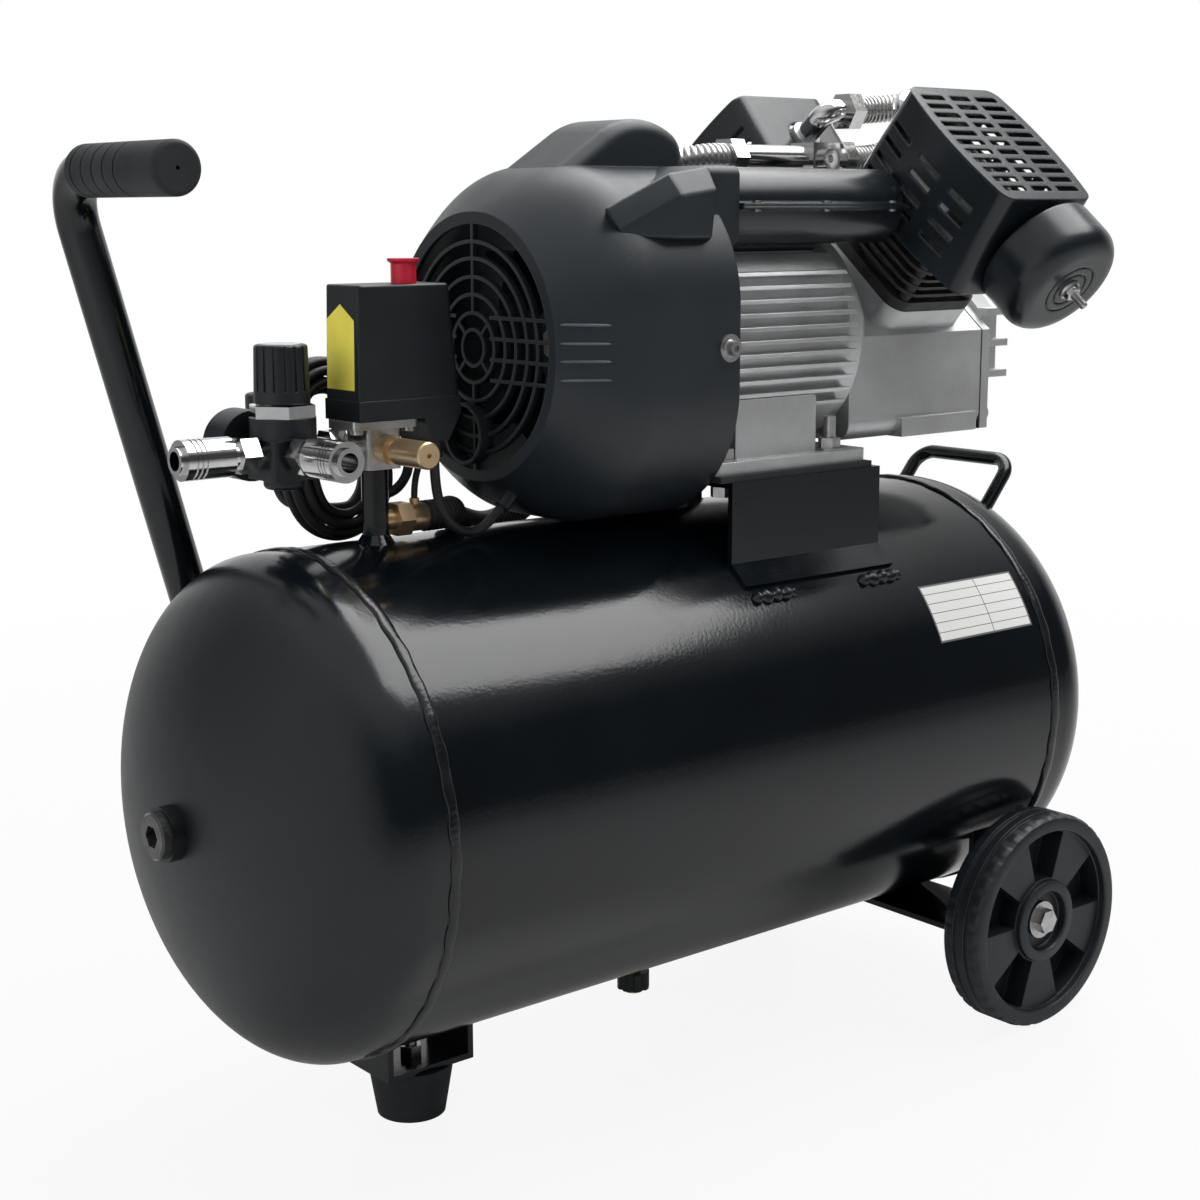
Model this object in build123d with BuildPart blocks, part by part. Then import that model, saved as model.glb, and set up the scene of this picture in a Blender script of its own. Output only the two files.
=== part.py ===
from build123d import *
import os
from math import asin, atan2, cos, degrees, radians, sin, sqrt, tan

os.makedirs("parts", exist_ok=True)

# Frame: millimetres, +Z up, +X along the tank from the push handle to the wheels,
# +Y away from the viewer. The floor is Z = 0 and the origin is under the middle of the machine.

# Tank
tank_od = 302.0
tank_wall = 2.5
tank_axis_z = 213.5
tank_mid_x = 7.5
shell_length = 509.0
head_flange = 13.0
dome_depth = 75.0
weld_width = 7.0
weld_proud = 1.3
plug_boss_od = 32.0
plug_boss_proud = 7.0
plug_thread_od = 20.0
plug_head_od = 27.5
plug_head_thick = 6.0
plug_hex = 12.0
port_thread_od = 16.0
bung_od = 28.0
bung_height = 5.0
drain_x = 7.5

# Feet, axle and wheels
foot_x = -177.0
foot_top_od = 54.0
foot_bottom_od = 43.0
foot_height = 33.0
foot_plate_length = 64.0
foot_plate_depth = 46.0
sheet = 4.0
foot_bolt_od = 8.0
wheel_x = 237.5
wheel_od = 150.0
wheel_width = 32.0
wheel_outer_y = 172.0
tyre_depth = 17.0
hub_od = 44.0
axle_od = 12.0
running_gap = 0.05
strap_width = 64.0
strap_y = 130.0
bolt_hex = 15.0
bolt_head = 6.0
washer_od = 26.0
washer_thick = 2.0
spoke_count = 5
hub_recess = 8.0
hub_boss_od = 28.0
end_play = 0.3
face_recess = 6.0
pocket_floor = 8.0
tyre_shoulder = 5.0
notch_count = 24
notch_depth = 3.0
axle_nut = 9.0
foot_recess = 14.0

# Push handle and carry handle
handle_tube_od = 25.0
handle_tube_wall = 2.0
handle_y = 116.0
handle_foot_x = -252.0
handle_foot_z = 306.0
handle_lean = 15.2
handle_top_z = 580.0
handle_bend = 34.0
handle_sink = 21.0
grip_od = 30.0
grip_length = 104.0
grip_cap = 10.0
grip_groove = 1.2
grip_groove_pitch = 13.0
grip_groove_count = 5
carry_bar_od = 10.0
carry_half_span = 44.0
carry_top_x = 338.0
carry_top_z = 375.0
carry_foot_x = 306.0
carry_foot_z = 338.0
carry_bend = 14.0

# Motor saddle and motor
saddle_x0 = 12.0
saddle_x1 = 146.0
saddle_half = 89.0
saddle_top = 391.0
saddle_tab = 19.0
pad_thick = 4.0
pad_width = 28.0
foot_plate_thick = 8.0
foot_plate_half = 84.0
foot_plate_x0 = 3.0
foot_plate_x1 = 139.0
stud_x0 = 17.0
stud_x1 = 113.0
stud_y = 74.0
stud_od = 8.0
stud_tail = 22.0
nut_hex = 13.0
nut_height = 6.5
shaft_z = 476.0
housing_x0 = 8.0
housing_x1 = 128.0
housing_r = 77.0
fin_r = 84.0
fin_thick = 2.6
fin_pitch = 8.4
fin_count = 11
stator_r = 64.0
stator_length = 84.0
stator_x0 = 26.0
air_gap = 0.6
rotor_r = 35.0
rotor_length = 80.0
skirt_half = 76.0
skirt_top = 440.0
skirt_x1 = 111.0
bell_thick = 10.0
rear_bearing_od = 40.0
rear_bearing_id = 17.0
rear_bearing_width = 12.0
front_bearing_od = 52.0
front_bearing_id = 25.0
front_bearing_width = 15.0

# Fan cowl
cowl_x0 = -121.0
cowl_x1 = 3.0
cowl_wall = 3.0
grille_r = 74.0
grille_rim = 7.0
cowl_half_width = 104.0
cowl_half_height = 108.5
cowl_corner = 84.0
grille_bar = 2.2
grille_depth = 4.0
ring_radii = (11.0, 21.0, 32.0, 42.5, 53.5, 63.5)
cup_r = 19.0
cup_drop = 52.0
cup_proud = 6.0
hump_half = 31.0
hump_top = 613.0
hump_end_x = 24.0
scoop_y0 = -84.0
scoop_y1 = -34.0
scoop_x0 = -76.0
scoop_x1 = 20.0
scoop_top = 584.0
scoop_bottom = 541.0
cowl_screw_x = -6.0
cowl_screw_od = 6.0
cowl_screw_head = 11.0

# Cooling fan
fan_x = -62.0
fan_r = 86.0
fan_width = 26.0
fan_hub_r = 20.0
blade_count = 9
blade_thick = 2.5

# Run capacitor and its cover
cap_y = -57.0
cap_z = 560.0
cap_r = 24.0
cap_wall = 2.0
cap_x0 = 21.0
cap_x1 = 171.0
cap_flange = 6.0
cap_can_r = 21.7
cap_can_length = 110.0
rivet_od = 4.0
rivet_head_od = 5.6
rivet_head = 1.4

# Pump: crank, banks, cylinders and heads
bank_angle = 40.0
near_x = 223.0
far_x = 209.0
throw = 11.0
bore = 65.0
rod_length = 55.0
rod_width = 13.5
rod_big_r = 19.0
rod_small_r = 8.0
rod_shank = 12.0
crank_pin_od = 22.0
wrist_pin_od = 9.0
wrist_pin_length = 30.0
shaft_od = 25.0
web_thick = 12.0
web_r = 26.0
counterweight_r = 29.0
counterweight_half = 26.0
piston_crown = 6.0
piston_wall = 3.0
piston_length = 40.0
piston_gap = 0.05
crown_above_wrist = 37.0
seat_n = 52.0
deck_n = 104.0
valve_plate_thick = 4.0
head_n = 140.0
head_half_x = 36.0
head_t0 = -44.0
head_t1 = 48.0
cylinder_flange = 84.0
flange_thick = 8.0
barrel_r = 37.0
cylinder_fin = 80.0
cylinder_fin_thick = 2.4
cylinder_fin_pitch = 6.4
cylinder_fin_count = 6
head_bolt_od = 8.0
head_bolt_pitch_x = 62.0
head_bolt_pitch_t = 70.0
bolt_clearance = 0.3
case_x0 = 148.0
case_x1 = 282.0
case_half = 58.0
case_bottom = 404.0
case_shoulder = 474.0
case_wall = 6.0
gasket_thick = 1.5
cover_flange = 8.0
cover_dome = 20.0
cover_rib = 5.0
cover_rib_pitch = 22.0
cover_rib_proud = 3.0
case_rail_x0 = 198.0
case_rail_x1 = 276.0
case_rail_height = 13.0
case_rail_proud = 3.0
guard_half_x = 42.5
guard_t0 = -47.0
guard_t1 = 67.0
guard_n0 = 97.0
guard_n1 = 171.0
guard_flare = 7.0
guard_bow = 7.0
lug_gap = 0.2
guard_sheet = 1.5
guard_corner = 10.0
slot_long = 19.0
slot_wide = 4.8
slot_rows = 11
slot_pitch = 9.2
slot_bridge = 6.5
slot_corner = 1.2
side_slot_t = 6.0
side_slot_n = 130.0
side_slot_long = 22.0
side_slot_wide = 3.8
side_slot_bridge = 12.0
side_slot_pitch = 12.0
side_slot_groups = 3
side_slot_rows = 4
filter_shift = -10.0
filter_r = 42.0
filter_t0 = 75.0
filter_thick = 36.0
filter_round = 14.0
filter_lip = 6.0
filter_rings = (13.0, 19.0)
neck_od = 24.0
neck_n = 133.0
port_n = 134.0
port_od = 22.0
port_proud = 6.0
port_clear = 2.0
line_n = 120.0
cross_port_near = -3.0
cross_port_far = 2.0
line_port = -23.0
pipe_od = 16.0
pipe_wall = 2.0
pipe_nut_hex = 24.0
pipe_nut_length = 12.0
elbow_reach = 24.0
near_elbow_reach = 32.0
line_x0 = 96.0
line_x1 = 214.0
line_y = 12.0
line_z = 592.0
line_od = 18.0
tee_x = 183.0
tee_length = 26.0

# Air fittings on the tank
post_x = -194.0
post_top_z = 409.0
post_bore = 10.0
check_z = 377.0
check_od = 17.0
check_hex = 19.0
check_hex_x0 = -182.0
check_body_x0 = -172.0
check_x1 = -160.0
check_nipple_od = 6.0
hose_od = 19.0
manifold_side = 24.0
manifold_top_z = 438.0
manifold_flange_length = 46.0
manifold_flange_width = 30.0
manifold_flange_thick = 5.0
safety_z = 421.0
safety_od = 16.0
safety_collar = 10.0
safety_neck_od = 11.0
safety_neck = 6.0
safety_drum = 29.0
safety_hole = 3.0
regulator_x = -255.0
regulator_side = 32.0
regulator_base_z = 408.0
regulator_split_z = 431.0
regulator_od = 38.0
regulator_top_z = 443.0
regulator_bowl_od = 24.0
regulator_bowl = 6.0
regulator_nut_hex = 34.0
regulator_nut_height = 7.0
regulator_stem_od = 12.0
regulator_knob_od = 32.0
regulator_knob_z0 = 451.0
regulator_knob_z1 = 484.0
knob_groove_count = 16
coupler_z = 423.0
nipple_od = 14.0
coupler_stub = 4.0
coupler_hex = 20.0
coupler_hex_length = 11.0
coupler_body_od = 16.0
coupler_length = 53.0
coupler_bore = 11.0
coupler_bore_depth = 26.0
coupler_sleeve_od = 23.0
coupler_sleeve_length = 30.0
coupler_lip = 3.0
gauge_x = -262.0
gauge_z = 425.0
gauge_od = 41.0
gauge_depth = 22.0
gauge_wall = 1.5
gauge_stem_od = 9.0
gauge_stem = 6.0
gauge_dial_depth = 9.0
gauge_post_od = 2.0
needle_length = 14.0
needle_hub_od = 5.0
needle_thick = 1.0
switch_x0 = -215.0
switch_x1 = -144.0
switch_half_y = 18.5
switch_split_z = 450.0
switch_top_z = 516.0
switch_end_draft = 6.0
switch_draft = 1.0
switch_wall = 2.0
switch_pocket_x0 = -170.0
switch_pocket_z = 424.0
knob_x = -174.0
knob_y = -5.0
knob_od = 19.0
knob_neck_od = 15.0
knob_top_z = 530.5
knob_flange = 3.0
knob_gap = 0.3
drain_hex = 20.0
drain_hex_height = 8.0
drain_stem_od = 10.0
drain_stem = 20.0
drain_knob_od = 22.0
drain_knob_height = 12.0
drain_knob_gap = 6.0

# Cords and their glands
lead_od = 6.0
lead_gland_od = 10.0
lead_gland = 10.0
lead_x = -160.0
lead_y = -13.0
grommet_x = -116.2
grommet_y = -20.0
grommet_z = 380.2
grommet_length = 16.0
unloader_od = 4.0
unloader_x = -158.0
unloader_y = 4.0
unloader_nipple_od = 6.0
unloader_nipple = 3.0
hank_section = 23.0
hank_half_straight = 20.0
hank_bend = 26.0
hank_tilt = 15.0
tail_turn = 40.0
hank_x = -198.0
hank_y = 40.0
mains_od = 6.0
mains_x = -160.0
mains_y = 13.0
plug_od = 34.0
plug_length = 30.0
plug_shoulder = 8.0
plug_neck_od = 11.0
plug_neck = 18.0
plug_pin_od = 4.8
plug_pin = 19.0
plug_x = -220.0
plug_z = 394.0
hank_gap = 0.3

# Places worked out from the sizes above
tank_r = tank_od / 2
tank_top_z = tank_axis_z + tank_r
tank_bottom_z = tank_axis_z - tank_r
seam_left = tank_mid_x - shell_length / 2
seam_right = tank_mid_x + shell_length / 2
left_apex = seam_left - head_flange - dome_depth
tank_axis = Axis((0, 0, tank_axis_z), (1, 0, 0))
foot_plate_z = saddle_top + pad_thick
foot_plate_top = foot_plate_z + foot_plate_thick
bank_sin = sin(radians(bank_angle))
bank_cos = cos(radians(bank_angle))
banks = (("near", -1, near_x), ("far", 1, far_x))
pin_z = shaft_z + throw
bore_r = bore / 2
wrist_n = throw * bank_cos + sqrt(rod_length**2 - (throw * bank_sin) ** 2)
crown_n = wrist_n + crown_above_wrist
web_x1 = far_x - rod_width / 2 - 1.0
web_x0 = web_x1 - web_thick
wheel_z = wheel_od / 2
hub_seat_y = wheel_outer_y - hub_recess + end_play


def tank_surface_z(y):
    """Height of the tank's upper surface at a distance y from its axis."""
    return tank_axis_z + sqrt(tank_r**2 - y**2)


def bank_plane(sign, x, n):
    """Plane across a cylinder bank, n from the shaft; local y points out and down the bank."""
    return Plane(
        origin=(x, sign * bank_sin * n, shaft_z + bank_cos * n),
        x_dir=(sign, 0, 0),
        z_dir=(0, sign * bank_sin, bank_cos),
    )


def end_plane(sign, x, n, t, shift=0.0):
    """Plane across a bank's outward direction, at n from the shaft and t out from the bank's axis."""
    spot = bank_plane(sign, x, n).from_local_coords(Vector(shift, t, 0))
    return Plane(origin=spot, x_dir=(sign, 0, 0), z_dir=(0, sign * bank_cos, -bank_sin))


def guard_end_t(n):
    """Place of a guard's sloping outer end along the bank, at n from the shaft."""
    return guard_t1 + guard_flare * (guard_n1 - n) / (guard_n1 - guard_n0)


def bent_path(points, share=0.45):
    """Straight runs joined by tangent arcs, each as wide as its two runs allow; gives the arcs' radii."""
    spots = [Vector(*point) for point in points]
    start = spots[0]
    radii = []
    for before, corner, after in zip(spots, spots[1:], spots[2:]):
        into = (corner - before).normalized()
        out = (after - corner).normalized()
        trim = share * min((corner - before).length, (after - corner).length)
        entry = corner - into * trim
        leave = corner + out * trim
        half_turn = into.get_angle(out) / 2
        radius = trim / tan(radians(half_turn))
        inward = (out - into).normalized()
        middle = corner + inward * (radius / cos(radians(half_turn)) - radius)
        Line(start, entry)
        ThreePointArc(entry, middle, leave)
        start = leave
        radii.append(round(radius, 1))
    Line(start, spots[-1])
    return radii


# Tank shell: a rolled steel tube with threaded bungs for the riser on top and the drain below.
with BuildPart() as tank_shell:
    with BuildSketch(Plane.YZ.offset(seam_left)):
        with Locations((0, tank_axis_z)):
            Circle(tank_r)
            Circle(tank_r - tank_wall, mode=Mode.SUBTRACT)
    extrude(amount=shell_length)
    with Locations((drain_x, 0, tank_bottom_z + tank_wall)):
        Cylinder(bung_od / 2, 2 * bung_height)
    with Locations((drain_x, 0, tank_bottom_z), (post_x, 0, tank_top_z)):
        Cylinder(port_thread_od / 2, 4 * bung_height, mode=Mode.SUBTRACT)
tank_shell.part.label = "tank_shell"
export_step(tank_shell.part, "parts/tank_shell.step")

# Tank heads: dished ends with a short straight flange and the weld bead that joins them to the shell.
for side, seam_x, out in (("left", seam_left, -1), ("right", seam_right, 1)):
    rim_x = seam_x + out * head_flange
    arc_start = 90 if out < 0 else 0
    with BuildPart() as tank_head:
        with BuildSketch(Plane((0, 0, tank_axis_z), x_dir=(1, 0, 0), z_dir=(0, -1, 0))):
            with BuildLine():
                EllipticalCenterArc((rim_x, 0), dome_depth, tank_r, arc_start, arc_size=90)
                EllipticalCenterArc(
                    (rim_x, 0), dome_depth - tank_wall, tank_r - tank_wall, arc_start, arc_size=90
                )
                Line((rim_x, tank_r), (seam_x, tank_r))
                Line((seam_x, tank_r), (seam_x, tank_r - tank_wall))
                Line((seam_x, tank_r - tank_wall), (rim_x, tank_r - tank_wall))
                Line((rim_x + out * dome_depth, 0), (rim_x + out * (dome_depth - tank_wall), 0))
            make_face()
        revolve(axis=tank_axis)
        with BuildSketch(Plane((0, 0, tank_axis_z), x_dir=(1, 0, 0), z_dir=(0, -1, 0))):
            with BuildLine():
                ThreePointArc(
                    (seam_x - weld_width / 2, tank_r),
                    (seam_x, tank_r + weld_proud),
                    (seam_x + weld_width / 2, tank_r),
                )
                Line((seam_x + weld_width / 2, tank_r), (seam_x - weld_width / 2, tank_r))
            make_face()
        revolve(axis=tank_axis)
        if out < 0:
            with BuildSketch(Plane.YZ.offset(left_apex - plug_boss_proud)):
                with Locations((0, tank_axis_z)):
                    Circle(plug_boss_od / 2)
            extrude(amount=plug_boss_proud + 2 * tank_wall)
            with BuildSketch(Plane.YZ.offset(left_apex - plug_boss_proud)):
                with Locations((0, tank_axis_z)):
                    Circle(plug_thread_od / 2)
            extrude(amount=4 * plug_boss_proud, mode=Mode.SUBTRACT)
    tank_head.part.label = f"tank_head_{side}"
    export_step(tank_head.part, f"parts/tank_head_{side}.step")

# Tank plug: a flanged hexagon-socket plug in the boss on the left head.
with BuildPart() as tank_plug:
    with BuildSketch(Plane.YZ.offset(left_apex - plug_boss_proud)):
        with Locations((0, tank_axis_z)):
            Circle(plug_thread_od / 2)
    extrude(amount=plug_boss_proud + tank_wall)
    with BuildSketch(Plane.YZ.offset(left_apex - plug_boss_proud)):
        with Locations((0, tank_axis_z)):
            Circle(plug_head_od / 2)
    extrude(amount=-plug_head_thick)
    chamfer(tank_plug.edges().sort_by(Axis.X)[0], 1.2)
    with BuildSketch(Plane.YZ.offset(left_apex - plug_boss_proud - plug_head_thick)):
        with Locations((0, tank_axis_z)):
            RegularPolygon(plug_hex / 2, 6, major_radius=False)
    extrude(amount=plug_head_thick + 2, mode=Mode.SUBTRACT)
tank_plug.part.label = "tank_plug"
export_step(tank_plug.part, "parts/tank_plug.step")

# Motor saddle: a folded channel whose out-turned tabs are welded along the tank.
tab_angle = degrees(asin((saddle_half + saddle_tab / 2) / tank_r))
tab_y = saddle_half + saddle_tab / 2 - sheet
with BuildPart() as motor_saddle:
    with BuildSketch(Plane.YZ.offset(saddle_x0)):
        with Locations((0, saddle_top - sheet / 2)):
            Rectangle(2 * saddle_half, sheet)
        for sign in (-1, 1):
            with Locations((sign * (saddle_half - sheet / 2), (saddle_top + tank_axis_z) / 2)):
                Rectangle(sheet, saddle_top - tank_axis_z)
            with Locations((sign * tab_y, tank_surface_z(tab_y) + sheet / 4)):
                Rectangle(saddle_tab, sheet, rotation=-sign * tab_angle)
    extrude(amount=saddle_x1 - saddle_x0)
    with Locations((tank_mid_x, 0, tank_axis_z)):
        Cylinder(tank_r, shell_length, rotation=(0, 90, 0), mode=Mode.SUBTRACT)
    for x in (stud_x0, stud_x1):
        with Locations((x, stud_y, saddle_top), (x, -stud_y, saddle_top)):
            Cylinder(stud_od / 2, 4 * sheet, mode=Mode.SUBTRACT)
motor_saddle.part.label = "motor_saddle"
export_step(motor_saddle.part, "parts/motor_saddle.step")

# Motor pads: two rubber strips between the motor's foot plate and the saddle.
with BuildPart() as motor_pads:
    with BuildSketch(Plane.XY.offset(saddle_top)):
        for sign in (-1, 1):
            with Locations(((foot_plate_x0 + foot_plate_x1) / 2, sign * stud_y)):
                Rectangle(foot_plate_x1 - foot_plate_x0, pad_width)
        for x in (stud_x0, stud_x1):
            with Locations((x, stud_y), (x, -stud_y)):
                Circle(stud_od / 2, mode=Mode.SUBTRACT)
    extrude(amount=pad_thick)
motor_pads.part.label = "motor_pads"
export_step(motor_pads.part, "parts/motor_pads.step")

# Motor housing: a finned aluminium frame with its skirt and foot plate, and the pad of the capacitor.
cap_tilt = degrees(atan2(-cap_y, cap_z - shaft_z))
cap_reach = sqrt(cap_y**2 + (cap_z - shaft_z) ** 2) - cap_r
housing_length = housing_x1 - housing_x0
with BuildPart() as motor_housing:
    with BuildSketch(Plane.YZ.offset(housing_x0)):
        with Locations((0, shaft_z)):
            with GridLocations(0, fin_pitch, 1, fin_count):
                Rectangle(2 * fin_r, fin_thick)
    extrude(amount=housing_length)
    with BuildSketch(Plane.YZ.offset(housing_x0)):
        with Locations((0, shaft_z)):
            Circle(fin_r)
    extrude(amount=housing_length, mode=Mode.INTERSECT)
    with BuildSketch(Plane.YZ.offset(housing_x0)):
        with Locations((0, shaft_z)):
            Circle(housing_r)
    extrude(amount=housing_length)
    with BuildSketch(Plane.YZ.offset(housing_x0)):
        with Locations((cap_y, cap_z)):
            Circle(cap_r + cap_flange)
    extrude(amount=housing_length, mode=Mode.SUBTRACT)
    with BuildSketch(Plane.XY.offset(foot_plate_z)):
        with Locations(((foot_plate_x0 + foot_plate_x1) / 2, 0)):
            RectangleRounded(foot_plate_x1 - foot_plate_x0, 2 * foot_plate_half, 6)
    extrude(amount=foot_plate_thick)
    with BuildSketch(Plane.XY.offset(foot_plate_top)):
        with Locations(((housing_x0 + skirt_x1) / 2, 0)):
            RectangleRounded(skirt_x1 - housing_x0, 2 * skirt_half - 36, 4)
    extrude(amount=skirt_top - foot_plate_top)
    with BuildSketch(Plane.XZ.offset(skirt_half)):
        with Locations(((housing_x0 + skirt_x1) / 2 - 2, (foot_plate_top + skirt_top) / 2)):
            RectangleRounded(skirt_x1 - housing_x0 - 22, skirt_top - foot_plate_top + 1, 3)
    extrude(amount=-2 * skirt_half)
    with BuildSketch(
        Plane(
            ((housing_x0 + housing_x1) / 2, 0, shaft_z),
            x_dir=(1, 0, 0),
            z_dir=(0, -sin(radians(cap_tilt)), cos(radians(cap_tilt))),
        )
    ):
        Rectangle(housing_length - 20, 22)
    extrude(amount=cap_reach - 3)
    with BuildSketch(Plane.YZ.offset(foot_plate_x0)):
        with Locations((0, shaft_z)):
            Circle(stator_r)
    extrude(amount=housing_x1 - foot_plate_x0, mode=Mode.SUBTRACT)
    with BuildSketch(Plane.YZ.offset(foot_plate_x0)):
        with Locations((0, shaft_z)):
            Circle(housing_r)
    extrude(amount=housing_x0 - foot_plate_x0, mode=Mode.SUBTRACT)
    for x in (stud_x0, stud_x1):
        with Locations((x, stud_y, foot_plate_z), (x, -stud_y, foot_plate_z)):
            Cylinder(stud_od / 2, 4 * foot_plate_thick, mode=Mode.SUBTRACT)
            with Locations((0, 0, foot_plate_thick)):
                Cylinder(
                    nut_hex * 0.75, stud_tail + 2,
                    align=(Align.CENTER, Align.CENTER, Align.MIN), mode=Mode.SUBTRACT,
                )
motor_housing.part.label = "motor_housing"
export_step(motor_housing.part, "parts/motor_housing.step")

# Stator: the wound core pressed into the housing, with its end turns.
with BuildPart() as stator:
    with BuildSketch(Plane.YZ.offset(stator_x0)):
        with Locations((0, shaft_z)):
            Circle(stator_r)
            Circle(rotor_r + air_gap, mode=Mode.SUBTRACT)
    extrude(amount=stator_length)
    for x, way in ((stator_x0, -1), (stator_x0 + stator_length, 1)):
        with BuildSketch(Plane.YZ.offset(x)):
            with Locations((0, shaft_z)):
                Circle(stator_r - 8)
                Circle(rotor_r + 6, mode=Mode.SUBTRACT)
        extrude(amount=way * 14)
stator.part.label = "stator"
export_step(stator.part, "parts/stator.step")

# End bell: closes the fan end of the motor, holds the rear bearing and carries the cowl on four lugs.
lug_r = cowl_half_width - cowl_wall
with BuildPart() as end_bell:
    with BuildSketch(Plane.YZ.offset(housing_x0 - bell_thick)):
        with Locations((0, shaft_z)):
            Circle(housing_r)
    extrude(amount=bell_thick)
    with BuildSketch(Plane.YZ.offset(housing_x0 - bell_thick - 4)):
        with Locations((0, shaft_z)):
            Circle(rear_bearing_od / 2 + 7)
    extrude(amount=4)
    for sign in (-1, 1):
        with Locations((cowl_screw_x, sign * (lug_r + housing_r - 12) / 2, shaft_z)):
            Box(14, lug_r - housing_r + 12, 18)
    with BuildSketch(Plane.YZ.offset(housing_x0)):
        with Locations((0, shaft_z)):
            Circle(rear_bearing_od / 2)
    extrude(amount=-rear_bearing_width, mode=Mode.SUBTRACT)
    with Locations((housing_x0 - bell_thick, 0, shaft_z)):
        Cylinder(rear_bearing_id / 2 + 1.5, 6 * bell_thick, rotation=(0, 90, 0), mode=Mode.SUBTRACT)
    with Locations((cowl_screw_x, 0, shaft_z)):
        Cylinder(cowl_screw_od / 2, 4 * lug_r, rotation=(90, 0, 0), mode=Mode.SUBTRACT)
end_bell.part.label = "end_bell"
export_step(end_bell.part, "parts/end_bell.step")

# Fan cowl: a moulded cover from the round grille to a squarish mouth over the motor, with an air duct
# hump on top and a scoop that covers the capacitor's leads.
grille_out_r = grille_r + grille_rim
shoulder = 0.46 * (cowl_x1 - cowl_x0)
shoulder_steps = (0.0, 0.12, 0.28, 0.48, 0.72, 1.0)


def cowl_section(ease, inset):
    """Half width, half height and corner radius of the cowl between its grille and its mouth."""
    half_w = grille_out_r + ease * (cowl_half_width - grille_out_r) - inset
    half_h = grille_out_r + ease * (cowl_half_height - grille_out_r) - inset
    corner = 0.985 * grille_out_r + ease * (cowl_corner - 0.985 * grille_out_r) - inset
    return half_w, half_h, corner


def cowl_skin(inset, x0):
    """Skin of the cowl, moved inwards by inset: a rounded shoulder, then a straight skirt."""
    x_skirt = cowl_x0 + shoulder
    with BuildPart() as skin:
        for step in shoulder_steps:
            half_w, half_h, corner = cowl_section(sin(radians(90 * step)), inset)
            with BuildSketch(Plane.YZ.offset(x0 + step * (x_skirt - x0))):
                with Locations((0, shaft_z)):
                    RectangleRounded(2 * half_w, 2 * half_h, corner)
        loft()
        half_w, half_h, corner = cowl_section(1.0, inset)
        with BuildSketch(Plane.YZ.offset(x_skirt)):
            with Locations((0, shaft_z)):
                RectangleRounded(2 * half_w, 2 * half_h, corner)
        extrude(amount=cowl_x1 - x_skirt)
    return skin.part


def cowl_duct(inset):
    """Air duct on top: a ramp from the grille's upper edge to a rounded crest over the motor."""
    crest = hump_top - inset
    end = hump_end_x - inset
    with BuildPart() as duct:
        with BuildSketch(Plane.XZ.offset(-hump_half + inset)):
            with BuildLine():
                rise = Line((cowl_x0 + 26, duct_floor), (cowl_x0 + 26, shaft_z + grille_r + 21 - inset))
                ramp = Line(rise @ 1, (cowl_x1 - 44, crest - 8))
                top = ThreePointArc(ramp @ 1, (cowl_x1 - 14, crest), (end - 8, crest - 8))
                nose = ThreePointArc(top @ 1, (end - 2.5, crest - 14), (end, crest - 22))
                Polyline(nose @ 1, (end, duct_floor + 10), (end - 20, duct_floor), rise @ 0)
            make_face()
        extrude(amount=2 * (hump_half - inset))
        crest_edges = duct.faces().filter_by(Axis.Y).edges().filter_by(
            lambda edge: edge.center().Z > duct_floor + 20 and abs(edge.tangent_at(0.5).Z) < 0.9
        )
        fillet(crest_edges, 9 - inset)
    return duct.part


def cowl_scoop(inset):
    """Scoop on the near shoulder: a wedge that deepens towards the capacitor's cover."""
    with BuildPart() as scoop:
        with BuildSketch(Plane.XZ.offset(-scoop_y1 + inset)):
            with BuildLine():
                Polyline(
                    (scoop_x0 + inset, scoop_bottom - 20),
                    (scoop_x0 + inset, scoop_bottom + 17 - inset),
                    (scoop_x0 + 72, scoop_top - inset),
                    (scoop_x1, scoop_top - inset),
                    (scoop_x1, scoop_bottom + inset),
                    (cowl_x1 - 4, scoop_bottom - 20),
                    close=True,
                )
            make_face()
        extrude(amount=scoop_y1 - scoop_y0 - 2 * inset)
        upper = scoop.faces().filter_by(Axis.Y).edges().filter_by(
            lambda edge: edge.center().Z > scoop_bottom + 20 and abs(edge.tangent_at(0.5).Z) < 0.9
        )
        fillet(upper, 6 - inset)
    return scoop.part


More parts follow.
